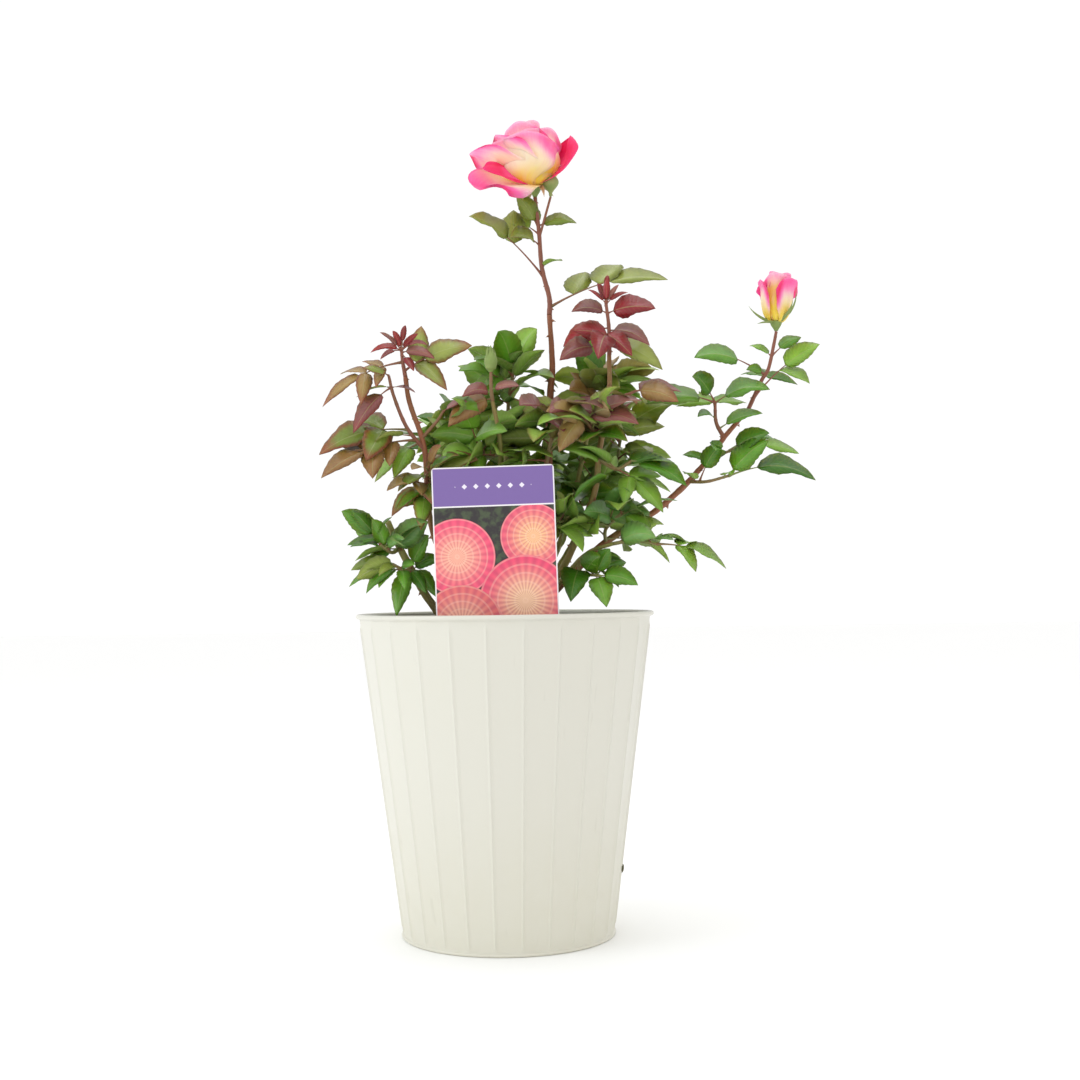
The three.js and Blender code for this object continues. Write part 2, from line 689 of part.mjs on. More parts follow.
const slope = Math.atan2(RIM_RADIUS - BEAD - FOOT_RADIUS, POT_HEIGHT);
const wallAt = (z) => FOOT_RADIUS + z * Math.tan(slope);

// A flat strip that runs up the outside of the wall.
function strip(bearing, width, proud, low, high) {
  const length = (high - low) / Math.cos(slope);
  const box = new THREE.BoxGeometry(proud + RIB.sunk, width, length);
  box.translate((proud - RIB.sunk) / 2, 0, 0).rotateY(slope);
  box.translate(wallAt((low + high) / 2), 0, (low + high) / 2).rotateZ(rad(bearing));
  return solid(box);
}

// The pot: folded sheet metal with a rolled rim, a foot bead, a rib on every joint of its staves, and
// the lap seam that closes it.
function pot() {
  const lip = RIM_RADIUS - BEAD;
  const body = lathe(
    [
      [0, 0],
      [FOOT_RADIUS, 0],
      [FOOT_RADIUS + 1.4, 1.4],
      [wallAt(3), 3],
      [lip - 0.6, POT_HEIGHT - 5],
      [RIM_RADIUS, POT_HEIGHT - 3.6],
      [RIM_RADIUS, POT_HEIGHT - 1.4],
      [lip, POT_HEIGHT],
      [lip - WALL - 0.6, POT_HEIGHT - 5],
      [FOOT_RADIUS - WALL, FLOOR],
      [0, FLOOR],
    ],
    SEGMENTS,
  );
  const high = POT_HEIGHT - RIB.below_rim;
  const parts = [body, strip(SEAM.bearing, SEAM.width, SEAM.proud, RIB.low, high)];
  for (let k = 0; k < STAVES; k++)
    parts.push(strip(FRONT + (360 * (k + 0.5)) / STAVES, RIB.width, RIB.proud, RIB.low, high));
  const bore = new THREE.CylinderGeometry(PLUG.shank + GAP, PLUG.shank + GAP, 10 * WALL, PLUG.sides);
  return joined(parts).subtract(onWall(bore));
}

// A geometry that stands along Y, laid square to the wall at the plug.
function onWall(geometry) {
  geometry.rotateZ(-Math.PI / 2).rotateY(slope);
  geometry.translate(wallAt(PLUG.height), 0, PLUG.height).rotateZ(rad(PLUG.bearing));
  return solid(geometry);
}

// The plug: a small domed stud whose shank fills a hole in the wall.
function sidePlug() {
  const profile = [
    [0, -WALL],
    [PLUG.shank, -WALL],
    [PLUG.shank, GAP],
    [PLUG.head, GAP],
    [PLUG.head, GAP + PLUG.rim],
    [0, GAP + PLUG.dome],
  ];
  return onWall(turned(profile, PLUG.sides));
}

// The label: a thin card with round corners that tapers to a stake, leaning a little.
function label(grow = 0) {
  const half = LABEL.width / 2 + grow;
  const height = LABEL.top - LABEL.bottom;
  const r = LABEL.corner;
  const shape = new THREE.Shape();
  shape.moveTo(-half, 0);
  shape.lineTo(-STAKE.width / 2 - grow, 0);
  shape.lineTo(-STAKE.point / 2 - grow, -STAKE.depth - grow);
  shape.lineTo(STAKE.point / 2 + grow, -STAKE.depth - grow);
  shape.lineTo(STAKE.width / 2 + grow, 0);
  shape.lineTo(half, 0);
  shape.lineTo(half, height - r);
  shape.absarc(half - r, height - r, r, 0, Math.PI / 2);
  shape.lineTo(r - half, height);
  shape.absarc(r - half, height - r, r, Math.PI / 2, Math.PI);
  const depth = LABEL.thickness + 2 * grow;
  const card = new THREE.ExtrudeGeometry(shape, { depth, bevelEnabled: false, curveSegments: 3 });
  card.translate(0, 0, -depth / 2).rotateX(Math.PI / 2).rotateY(rad(-LABEL.lean));
  return solid(card.translate(LABEL.x, LABEL.y, LABEL.bottom));
}

// The soil fills the pot to a little under its rim and is slit for the label's stake.
function soil() {
  const inner = (z) => wallAt(z) - WALL - 2 * GAP;
  const low = FLOOR + 2 * GAP;
  const body = lathe(
    [
      [0, low],
      [inner(low) - 1, low],
      [inner(SOIL_TOP) - 2, SOIL_TOP - 5],
      [inner(SOIL_TOP) - 14, SOIL_TOP],
      [0, SOIL_TOP],
    ],
    SEGMENTS,
  );
  return body.subtract(label(GAP));
}

function unionKnob(grow = 0) {
  const { x, y, height, foot, belly, top } = UNION;
  const profile = [
    [0, -grow],
    [foot + grow, -grow],
    [belly + grow, 0.4 * height],
    [0.8 * belly + grow, 0.8 * height],
    [top + grow, height + grow],
    [0, height + grow],
  ];
  return lathe(profile, 10).translate([x, y, SOIL_TOP + GAP]);
}

// One petal: a thin curved blade that climbs from the hip at the first slope and ends at the second,
// widest past its middle and cupped across.
function petalRows({ bearing, length, width, slopes, cup, turn = 0 }, across, along) {
  const out = new THREE.Vector3(Math.cos(rad(bearing)), Math.sin(rad(bearing)), 0);
  const side = new THREE.Vector3(-Math.sin(rad(bearing)), Math.cos(rad(bearing)), 0);
  const centre = new THREE.Vector3();
  const rows = [];
  for (let i = 0; i <= along; i++) {
    const v = i / along;
    const slant = rad(THREE.MathUtils.lerp(slopes[0], slopes[1], Math.pow(v, 0.9)));
    const way = out.clone().multiplyScalar(Math.sin(slant)).addScaledVector(UP, Math.cos(slant));
    if (i > 0) centre.addScaledVector(way, length / along);
    const face = side.clone().cross(way);
    const half = (width / 2) * Math.pow(Math.sin(Math.PI * (PETAL_NARROW + PETAL_SPAN * v)), 0.8);
    const row = [];
    for (let k = 0; k <= across; k++) {
      const u = (2 * k) / across - 1;
      const rise = half * (CUP_DEPTH * cup * u * u + TURN_DEPTH * turn * u);
      row.push({ point: centre.clone().addScaledVector(side, half * u).addScaledVector(face, -rise), face });
    }
    rows.push(row);
  }
  return rows;
}

// A petal as a solid: its surface doubled to the petal's thickness and closed round its edge.
function petal(spec, across = 2, along = 3) {
  const rows = petalRows(spec, across, along);
  const loops = rows.map((row) => {
    const offset = (h) => ({ point, face }) => point.clone().addScaledVector(face, h * PETAL_THICKNESS);
    return [...row.map(offset(0.5)), ...row.map(offset(-0.5)).reverse()];
  });
  return skin(loops);
}

// A bloom: its green hip, the closed heart, and the outer petals that stand off it.
function bloom({ foot, lean, hip, hipLength, heart, petals }) {
  const seat = [0, 0, 0.8 * hipLength];
  const root = [0, 0, 0.8 * hipLength + PETAL_ROOT];
  const profile = [[0, 0], [0.35, 0], [0.9, 0.45], [1, 0.8], [0, 1.2]];
  const urn = profile.map(([r, h]) => [hip * r, hipLength * h]);
  const closed = [[0, heart[0][1]], ...heart, [0, heart.at(-1)[1] + 1]];
  const parts = [lathe(urn, 6), lathe(closed, 9).rotate([0, lean, 0]).translate(seat)];
  for (const spec of petals) parts.push(petal(spec).translate(root));
  return joined(parts.map((shape) => shape.translate(foot)));
}

add("pot", pot(), COLOURS.pot, 0.45, 0.2);
add("side_plug", sidePlug(), COLOURS.side_plug);
add("soil", soil(), COLOURS.soil, 1);
add("label", label(), COLOURS.label, 0.4);
add("bud_union", unionKnob(), COLOURS.union, 0.9);
add(OPEN_BLOOM.name, bloom(OPEN_BLOOM), COLOURS.bloom);
add(BUD_BLOOM.name, bloom(BUD_BLOOM), COLOURS.bloom);

// Each cane is cut clear of the soil, of the union, and of the canes that stand before it.
const canes = new Map();
const ground = new THREE.BoxGeometry(2 * RIM_RADIUS, 2 * RIM_RADIUS, SOIL_TOP);
ground.translate(0, 0, SOIL_TOP / 2 + GAP);
let taken = unionKnob(GAP).add(solid(ground));
for (const { name, radii, path } of CANES) {
  const curve = bent(path);
  const steps = 2 * (path.length - 1);
  add(name, largest(limb(curve, radii, CANE_SIDES, steps).subtract(taken)), COLOURS.cane, 0.7);
  canes.set(name, curve);
  taken = taken.add(limb(curve, radii, CANE_SIDES, steps, GAP));
}

// Each shoot's stem is cut clear of the canes. A leaf whose stalk would touch what stands is skipped,
// and so is a leaflet.
for (const { name, cane, from, radii, path, leaves, spiral, buds = [] } of SHOOTS) {
  const curve = bent([canes.get(cane).getPoint(from).toArray(), ...path]);
  const parts = [largest(limb(curve, radii, STEM_SIDES, 2 * path.length).subtract(taken))];
  for (const spec of [...leaves, ...(spiral ? spiralLeaves(curve, spiral) : [])]) {
    const plan = leafPlan(curve, spec);
    if (touches(frond(plan, GAP), standing)) continue;
    parts.push(frond(plan));
    for (const side of plan.blades) if (!touches(blade(side, GAP), standing)) parts.push(blade(side));
  }
  for (const spec of buds) parts.push(...greenBud(curve, spec));
  add(name, fused(parts), COLOURS.shoot, 0.6);
}

export default group;
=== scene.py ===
"""A shrub rose in bloom, in a ribbed sheet-metal pot with a picture label stuck in its soil."""
import math

import bpy
import numpy as np
from mathutils import Matrix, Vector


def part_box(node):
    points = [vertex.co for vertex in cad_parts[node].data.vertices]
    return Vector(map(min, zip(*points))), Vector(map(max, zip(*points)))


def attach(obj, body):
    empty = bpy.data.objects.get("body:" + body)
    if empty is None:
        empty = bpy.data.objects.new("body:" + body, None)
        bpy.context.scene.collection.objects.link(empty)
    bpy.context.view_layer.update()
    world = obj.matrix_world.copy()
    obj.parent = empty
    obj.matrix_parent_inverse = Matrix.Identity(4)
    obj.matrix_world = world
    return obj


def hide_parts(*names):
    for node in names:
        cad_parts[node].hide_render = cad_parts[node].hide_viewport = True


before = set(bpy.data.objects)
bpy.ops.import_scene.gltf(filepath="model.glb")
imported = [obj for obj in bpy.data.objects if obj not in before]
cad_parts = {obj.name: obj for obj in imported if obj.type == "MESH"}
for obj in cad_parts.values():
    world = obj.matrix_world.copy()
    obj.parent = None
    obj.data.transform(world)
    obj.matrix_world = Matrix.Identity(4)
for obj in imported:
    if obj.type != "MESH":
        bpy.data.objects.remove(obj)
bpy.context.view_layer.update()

# The view: a camera at the height of the pot's rim, 1.3 metres in front and turned a little to the
# right and up, as such a plant is pictured for sale.
EYE = np.array([0.0, -1.293, 0.290])
YAW, PITCH, ROLL = 0.0234, 0.0297, -0.0137
FOCAL, SENSOR, FRAME_PIXELS = 1533.0, 36.0, 1080.0

ahead = np.array([math.sin(YAW) * math.cos(PITCH), math.cos(YAW) * math.cos(PITCH), math.sin(PITCH)])
level = np.array([math.cos(YAW), -math.sin(YAW), 0.0])
above = np.cross(level, ahead)
across = math.cos(ROLL) * level + math.sin(ROLL) * above
upward = math.cos(ROLL) * above - math.sin(ROLL) * level
lens = bpy.data.cameras.new("view")
lens.sensor_width = SENSOR
lens.lens = FOCAL * SENSOR / FRAME_PIXELS
lens.clip_start = 0.01
camera = bpy.data.objects.new("view", lens)
camera.matrix_world = Matrix(
    [[across[k], upward[k], -ahead[k], EYE[k]] for k in range(3)] + [[0, 0, 0, 1]]
)
bpy.context.scene.collection.objects.link(camera)
bpy.context.scene.camera = camera

# The light of a small photo studio: a white room, one large and slightly cool soft box on the left, a
# weak one on the right, and one from above. A lamp has its place, its side in metres, its power in
# watts and its colour.
ROOM_LIGHT = 1.03
LAMPS = {
    "soft_box_left": ((-1.8, -0.7, 1.0), 1.2, 11, (0.88, 0.95, 1.0)),
    "soft_box_right": ((1.7, -1.2, 1.1), 1.1, 1.5, (1.0, 1.0, 1.0)),
    "soft_box_top": ((0.1, 0.3, 2.2), 1.2, 7, (1.0, 1.0, 1.0)),
}
AIM = (0.03, 0.0, 0.35)
for name, (place, side, watts, colour) in LAMPS.items():
    lamp = bpy.data.lights.new(name, "AREA")
    lamp.shape = "SQUARE"
    lamp.size = side
    lamp.energy = watts
    lamp.color = colour
    lit = bpy.data.objects.new(name, lamp)
    way = np.array(AIM) - np.array(place)
    lit.location = place
    lit.rotation_euler = (
        math.atan2(math.hypot(way[0], way[1]), -way[2]), 0.0, math.atan2(-way[0], way[1]),
    )
    bpy.context.scene.collection.objects.link(lit)
world = bpy.data.worlds.new("room")
world.use_nodes = True
world.node_tree.nodes["Background"].inputs["Color"].default_value = (1.0, 1.0, 1.0, 1.0)
world.node_tree.nodes["Background"].inputs["Strength"].default_value = ROOM_LIGHT
bpy.context.scene.world = world
bpy.context.scene.view_settings.view_transform = "Standard"


# The floor: a plain pale matt board that the pot stands on. It reaches so far past the pot on every side
# that no edge of it shows.
BOARD = {"side": 6000.0, "near": -4000.0, "far": 9000.0}


class Wire:
    """One output of a shader node. Arithmetic on it adds Math nodes to the same material."""

    def __init__(self, paint, socket):
        self.paint, self.socket = paint, socket

    def math(self, operation, a, b=0.0):
        return self.paint.node("Math", {"operation": operation}, {0: a, 1: b})

    def __add__(self, other): return self.math("ADD", self, other)
    def __radd__(self, other): return self.math("ADD", other, self)
    def __sub__(self, other): return self.math("SUBTRACT", self, other)
    def __rsub__(self, other): return self.math("SUBTRACT", other, self)
    def __mul__(self, other): return self.math("MULTIPLY", self, other)
    def __rmul__(self, other): return self.math("MULTIPLY", other, self)
    def __truediv__(self, other): return self.math("DIVIDE", self, other)
    def __abs__(self): return self.math("ABSOLUTE", self)
    def __lt__(self, other): return self.math("LESS_THAN", self, other)

    def one(self, operation):
        """A Math node of one input, such as SINE or FRACT."""
        return self.math(operation, self)

    def between(self, low, high):
        """0 up to low, 1 from high on, and a smooth rise between them."""
        return self.paint.node(
            "MapRange", {"interpolation_type": "SMOOTHSTEP"}, {"Value": self, 1: low, 2: high, 3: 0.0, 4: 1.0},
        )


class Paint:
    """A material whose nodes are added by one method."""

    def __init__(self, name):
        self.material = bpy.data.materials.new(name)
        self.material.use_nodes = True
        self.tree = self.material.node_tree
        self.tree.nodes.clear()

    def node(self, kind, settings, sockets, out=0):
        """A node of a kind: its settings first, then the values or wires of its sockets."""
        made = self.tree.nodes.new("ShaderNode" + kind)
        for key, value in settings.items():
            setattr(made, key, value)
        for key, value in sockets.items():
            if isinstance(value, Wire):
                self.tree.links.new(value.socket, made.inputs[key])
            else:
                made.inputs[key].default_value = value
        return Wire(self, made.outputs[out]) if made.outputs else None

    def value(self, name):
        """A number that the points carry, by its name."""
        return self.node("Attribute", {"attribute_name": name}, {}, out=2)

    def place(self):
        """The point of the surface, in metres."""
        return self.node("TexCoord", {}, {}, out=3)

    def chart(self):
        """The surface's own map, as two numbers."""
        both = self.node("UVMap", {"uv_map": "map"}, {})
        return tuple(self.node("SeparateXYZ", {}, {0: both}, out=k) for k in (0, 1))

    def axes(self, vector):
        """The three numbers of a vector."""
        return tuple(self.node("SeparateXYZ", {}, {0: vector}, out=k) for k in (0, 1, 2))

    def vector(self, x, y, z=0.0):
        """Three numbers as one vector."""
        return self.node("CombineXYZ", {}, {0: x, 1: y, 2: z})

    def noise(self, where, scale, detail=3.0, roughness=0.5):
        """Soft cloudy noise, about 0 to 1, of so many clouds a metre."""
        sockets = {"Vector": where, "Scale": scale, "Detail": detail, "Roughness": roughness}
        return self.node("TexNoise", {}, sockets)

    def cells(self, where, scale):
        """The distance to the nearest of many scattered points."""
        return self.node("TexVoronoi", {"feature": "F1"}, {"Vector": where, "Scale": scale})

    def mix(self, share, a, b, blend="MIX"):
        """Colour a, with a share of colour b laid over it."""
        return self.node(
            "Mix", {"data_type": "RGBA", "blend_type": blend}, {0: share, 6: a, 7: b}, out=2,
        )

    def bump(self, height, distance, strength=1.0):
        """A surface normal that is tipped as if the surface rose by the height times the distance."""
        return self.node("Bump", {}, {"Height": height, "Distance": distance, "Strength": strength})

    def finish(self, colour, roughness, **more):
        """The finished material. Sockets of two words are named with an underscore."""
        names = {"Base Color": colour, "Roughness": roughness}
        names.update({key.replace("_", " "): value for key, value in more.items()})
        surface = self.node("BsdfPrincipled", {}, names)
        self.node("OutputMaterial", {}, {"Surface": surface})
        return self.material


def srgb(red, green, blue):
    """A colour as it shows, 0 to 255 a channel, as the shader's linear values."""
    shown = np.array([red, green, blue]) / 255.0
    linear = np.where(shown <= 0.04045, shown / 12.92, ((shown + 0.055) / 1.055) ** 2.4)
    return tuple(float(v) for v in linear) + (1.0,)


def grid_quads(rows, columns, wrap=False):
    """The faces of a grid of points that are listed row by row. With wrap, its last column meets the first."""
    row = np.arange(rows - 1)[:, None]
    column = np.arange(columns if wrap else columns - 1)[None, :]
    after = (column + 1) % columns
    corners = (row * columns + column, row * columns + after, (row + 1) * columns + after,
               (row + 1) * columns + column)
    return np.stack(np.broadcast_arrays(*corners), -1).reshape(-1, 4)


def make(name, points, faces, paints, chart=None, values=None, choice=None, smooth=True):
    """An object from points in millimetres. faces is an array of quads, a repeated last corner making a
    triangle; chart gives each point its map, values names numbers or colours of the points, and choice
    is each face's material."""
    points = np.asarray(points, float).reshape(-1, 3) * 0.001
    faces = np.asarray(faces, int)
    three = faces[:, 2] == faces[:, 3]
    count = np.where(three, 3, 4)
    keep = np.ones(faces.shape, bool)
    keep[:, 3] = ~three
    corners = faces[keep]
    mesh = bpy.data.meshes.new(name)
    mesh.vertices.add(len(points))
    mesh.vertices.foreach_set("co", points.ravel())
    mesh.loops.add(len(corners))
    mesh.loops.foreach_set("vertex_index", corners)
    mesh.polygons.add(len(faces))
    mesh.polygons.foreach_set("loop_start", np.concatenate([[0], np.cumsum(count)[:-1]]))
    mesh.polygons.foreach_set("loop_total", count)
    for paint in paints:
        mesh.materials.append(paint)
    if choice is not None:
        mesh.polygons.foreach_set("material_index", np.asarray(choice, int))
    mesh.polygons.foreach_set("use_smooth", np.full(len(faces), smooth))
    mesh.update(calc_edges=True)
    if chart is not None:
        layer = mesh.uv_layers.new(name="map")
        layer.data.foreach_set("uv", np.asarray(chart, float).reshape(-1, 2)[corners].ravel())
    for key, value in (values or {}).items():
        value = np.asarray(value, float)
        if value.ndim == 2:
            layer = mesh.attributes.new(key, "FLOAT_COLOR", "POINT")
            layer.data.foreach_set("color", np.column_stack([value[:, :3], np.ones(len(value))]).ravel())
        else:
            layer = mesh.attributes.new(key, "FLOAT", "POINT")
            layer.data.foreach_set("value", value)
    mesh.validate()
    made = bpy.data.objects.new(name, mesh)
    bpy.context.scene.collection.objects.link(made)
    return made


board = Paint("pale_board")
floor_paint = board.finish(srgb(251, 251, 250), 0.8)
board_corners = [(-BOARD["side"], BOARD["near"], 0), (BOARD["side"], BOARD["near"], 0),
                 (BOARD["side"], BOARD["far"], 0), (-BOARD["side"], BOARD["far"], 0)]
floor = make("floor", board_corners, [[0, 1, 2, 3]], [floor_paint])

# The pot: painted sheet steel, folded round with a pressed rib on each joint of its flat staves, lapped
# once and pressed flat, with a rolled rim and a bead round its foot. Cream satin paint inside and out.
POT_HEIGHT, RIM_RADIUS, FOOT_RADIUS = 268.0, 125.0, 88.0
WALL, BEAD, STAVES = 1.2, 2.0, 26
RIB = {"width": 1.8, "proud": 0.8, "low": 6.0, "high": 258.0}
SEAM = {"bearing": -17.0, "width": 7.0, "proud": 0.6}
HEM = {"inset": 0.6, "width": 2.0, "height": 1.6}
FLOOR = 1.6
WALL_SLOPE = math.atan2(RIM_RADIUS - BEAD - FOOT_RADIUS, POT_HEIGHT)


def wall_at(height):
    """The outside radius of the wall at a height: a straight taper from foot to rim."""
    return FOOT_RADIUS + height * math.tan(WALL_SLOPE)


def smooth_step(x, low, high):
    """0 below low, 1 above high, and 3t^2 - 2t^3 between."""
    t = np.clip((x - low) / (high - low), 0.0, 1.0)
    return t * t * (3.0 - 2.0 * t)


def pot_points(columns_a_stave=18):
    """A profile carried round the axis. Between ribs the radius is that of a flat stave, R cos(a) over
    cos(bearing from its middle); each rib and the lap seam add a rounded ridge; the rim is rolled."""
    share = np.linspace(-1, 1, columns_a_stave, endpoint=False)
    share = np.sign(share) * np.abs(share) ** 0.6
    half = math.pi / STAVES
    bearing = (-math.pi / 2 + 2 * half * np.arange(STAVES)[:, None] + half * share[None, :]).ravel()
    off = np.tile(half * share, STAVES)
    stave = math.cos(half) / np.cos(off)
    # the rings stand closer together where the ribs begin and end
    heights = np.concatenate([[3.2, 4.5], np.linspace(5.5, 9, 4), np.linspace(16, 250, 20),
                              np.linspace(254, 259, 4), [262.0, 263.6]])
    wall = wall_at(heights)[:, None]
    from_rib = (half - np.abs(off)) * wall
    fade = smooth_step(heights, RIB["low"] - 1, RIB["low"] + 2)
    fade = (fade * (1 - smooth_step(heights, RIB["high"] - 3, RIB["high"] + 1)))[:, None]
    radius = wall * stave + RIB["proud"] * fade * np.exp(-((from_rib / (0.5 * RIB["width"])) ** 2))
    from_seam = np.angle(np.exp(1j * (bearing - math.radians(SEAM["bearing"])))) * wall
    edge = SEAM["width"] / 2
    lap = smooth_step(from_seam, -edge - 0.5, -edge + 0.5)
    lap *= 1 - smooth_step(from_seam, edge - 0.5, edge + 0.5)
    radius = np.maximum(radius, wall * math.cos(half) + SEAM["proud"] * fade * lap)
    rows = [np.column_stack([radius[i], np.full(len(bearing), z)]) for i, z in enumerate(heights)]

    def ring(r, z):
        return np.column_stack([np.full(len(bearing), r), np.full(len(bearing), z)])

    bead = [ring(RIM_RADIUS - BEAD + BEAD * math.cos(a), POT_HEIGHT - BEAD + BEAD * math.sin(a))
            for a in np.radians(np.linspace(-60, 200, 12))]
    foot = [ring(FOOT_RADIUS - HEM["inset"] + HEM["width"] * math.cos(a), HEM["height"] * (1 + math.sin(a)))
            for a in np.radians(np.linspace(-60, 60, 5))]
    inside = [ring(RIM_RADIUS - BEAD - WALL, POT_HEIGHT - 3.6)] + [
        np.column_stack([(wall_at(z) - WALL) * stave, np.full(len(bearing), z)])
        for z in np.linspace(POT_HEIGHT - 7, FLOOR, 8)]
    under = [ring(r, 0.0) for r in (1e-3, 40, FOOT_RADIUS - 3, FOOT_RADIUS - 0.8)]
    floor_inside = [ring(r, FLOOR) for r in (60, 1e-3)]
    profile = np.array(under + foot + rows + bead + inside + floor_inside)
    return np.stack([profile[..., 0] * np.cos(bearing), profile[..., 0] * np.sin(bearing), profile[..., 1]], -1)


enamel = Paint("cream_enamel")
where = enamel.place()
_, _, height = enamel.axes(where)
cloud = enamel.noise(where, 9.0, 4.0, 0.6)
patch_cloud = enamel.noise(where, 55.0, 5.0, 0.65)
# the enamel is darker and yellower towards the foot, fading out 16 cm up, and in rougher cloudy patches that
# gather there
low_tint = 1.0 - height.between(0.0, 0.16)
dark_patches = (low_tint * 0.55 + cloud.between(0.45, 0.8) * 0.35) * patch_cloud.between(0.35, 0.75)
cream = enamel.mix(low_tint * 0.5 + cloud * 0.2, srgb(213, 211, 200), srgb(209, 206, 189))
cream = enamel.mix(dark_patches * 0.18, cream, srgb(200, 194, 168))
upright = enamel.node("Mapping", {}, {0: where, 3: (1.0, 1.0, 0.16)})
scuff = enamel.noise(upright, 120.0, 2.0).between(0.68, 0.76)
cream = enamel.mix(scuff * 0.12, cream, srgb(170, 166, 150))
peel = enamel.noise(where, 900.0, 2.0, 0.5) * 0.4 + cloud * 0.6
cream_enamel = enamel.finish(cream, 0.36 + dark_patches * 0.25 + scuff * 0.1, Coat_Weight=0.12,
                             Normal=enamel.bump(peel, 0.0002, 0.16))
shell = pot_points()
pot = make("pot_shell", shell, grid_quads(shell.shape[0], shell.shape[1], wrap=True), [cream_enamel])
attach(pot, "root")
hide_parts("pot")

# The side plug: a small domed stud of dark rubber, pushed through the drain hole low on the wall, with its
# head flat against the enamel.
PLUG = {"height": 54.0, "bearing": -7.0, "head": 3.6, "seat": 0.3, "rim": 0.5, "shank": 2.0, "dome": 1.6}
stud = Paint("dark_rubber")
where = stud.place()
speck = stud.noise(where, 900.0, 3.0)
dark_rubber = stud.finish(stud.mix(speck, srgb(62, 60, 30), srgb(92, 88, 52)), 0.55,
                          Normal=stud.bump(speck, 0.0002, 0.5))
turn = np.linspace(0, 2 * math.pi, 28, endpoint=False)
dome = np.radians(np.linspace(0, 88, 8))
crown = PLUG["dome"] - PLUG["seat"]
profile = np.array([(1e-3, -WALL), (PLUG["shank"], -WALL), (PLUG["shank"], PLUG["seat"]),
                    (PLUG["head"] - 0.2, PLUG["seat"]), (PLUG["head"], PLUG["seat"] + 0.1)]
                   + [(PLUG["head"] * math.cos(a), PLUG["rim"] + crown * math.sin(a)) for a in dome]
                   + [(1e-3, PLUG["rim"] + crown)])
out = profile[:, 1][:, None] + 0 * turn
side = profile[:, 0][:, None] * np.cos(turn)
rise = profile[:, 0][:, None] * np.sin(turn)
reach = wall_at(PLUG["height"]) + out * math.cos(WALL_SLOPE) + rise * math.sin(WALL_SLOPE)
lift = PLUG["height"] - out * math.sin(WALL_SLOPE) + rise * math.cos(WALL_SLOPE)
aim = math.radians(PLUG["bearing"])
stud_points = np.stack([reach * math.cos(aim) - side * math.sin(aim),
                        reach * math.sin(aim) + side * math.cos(aim), lift], -1)
plug = make("side_stud", stud_points, grid_quads(len(profile), len(turn), wrap=True), [dark_rubber])
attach(plug, "root")
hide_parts("side_plug")

# The soil: moist dark potting mix with crumbs and chips of bark, a little below the rim and heaped
# slightly at the plant's foot.
SOIL_TOP, SETTLED, WALL_GAP = 260.0, 1.6, 1.7
HEAP = {"height": 2.2, "spread": 45.0}
LUMPS = ((1.3, 34, 3), (0.7, 11, 4), (0.35, 4, 5))
UNION = {"x": 18.0, "y": 0.0, "height": 24.0, "foot": 17.0, "belly": 19.0, "top": 9.0, "fit": 0.94}


def ripple(points, size, seed, waves=24):
    """Smooth noise in space, about -1 to 1: a sum of sine waves of seeded directions and phases."""
    rng = np.random.default_rng(seed)
    way = rng.normal(size=(waves, 3))
    way /= np.linalg.norm(way, axis=1)[:, None]
    pitch = 2 * math.pi / (size * rng.uniform(0.6, 1.6, waves))
    phase = rng.uniform(0, 2 * math.pi, waves)
    return np.sin((points @ way.T) * pitch + phase).sum(-1) * math.sqrt(2.0 / waves) * 0.7


def soil_height(x, y):
    """The soil's surface: level, with lumps of three heights and sizes, and a low heap round the plant's
    foot that falls off as exp(-(distance / spread)^2)."""
    flat = np.stack([x, y, np.zeros_like(x)], -1)
    heap = HEAP["height"] * np.exp(-((x - UNION["x"]) ** 2 + (y - UNION["y"]) ** 2) / HEAP["spread"] ** 2)
    return SOIL_TOP - SETTLED + heap + sum(tall * ripple(flat, size, seed) for tall, size, seed in LUMPS)


mix = Paint("potting_mix")
where = mix.place()
crumb = mix.cells(where, 420.0)
lump = mix.noise(where, 130.0, 6.0, 0.7)
shade = mix.mix(lump.between(0.3, 0.7), srgb(36, 29, 23), srgb(74, 58, 42))
shade = mix.mix(mix.noise(where, 700.0, 2.0).between(0.66, 0.74) * 0.7, shade, srgb(142, 122, 96))
potting_mix = mix.finish(shade, 0.86 + lump * 0.1, Normal=mix.bump(crumb * 0.6 + lump, 0.0025, 0.9))
inner = wall_at(SOIL_TOP) * math.cos(math.pi / STAVES) - WALL - WALL_GAP
turn = np.linspace(0, 2 * math.pi, 160, endpoint=False)
rings = inner * np.sqrt(np.linspace(1e-6, 1, 64))
x, y = rings[:, None] * np.cos(turn), rings[:, None] * np.sin(turn)
# the bed sinks a little towards the wall
top = np.stack([x, y, soil_height(x, y) - 2.5 * smooth_step(rings, inner - 12, inner)[:, None]], -1)
low = [np.stack([r * np.cos(turn), r * np.sin(turn), np.full(len(turn), z)], -1)
       for r, z in ((inner - 1.4, SOIL_TOP - 8), (inner - SOIL_TOP * math.tan(WALL_SLOPE), FLOOR + 1),
                    (1e-3, FLOOR + 1))]
bed = np.concatenate([np.array(low[::-1]), top[::-1]])
soil = make("soil_bed", bed, grid_quads(len(bed), len(turn), wrap=True), [potting_mix])

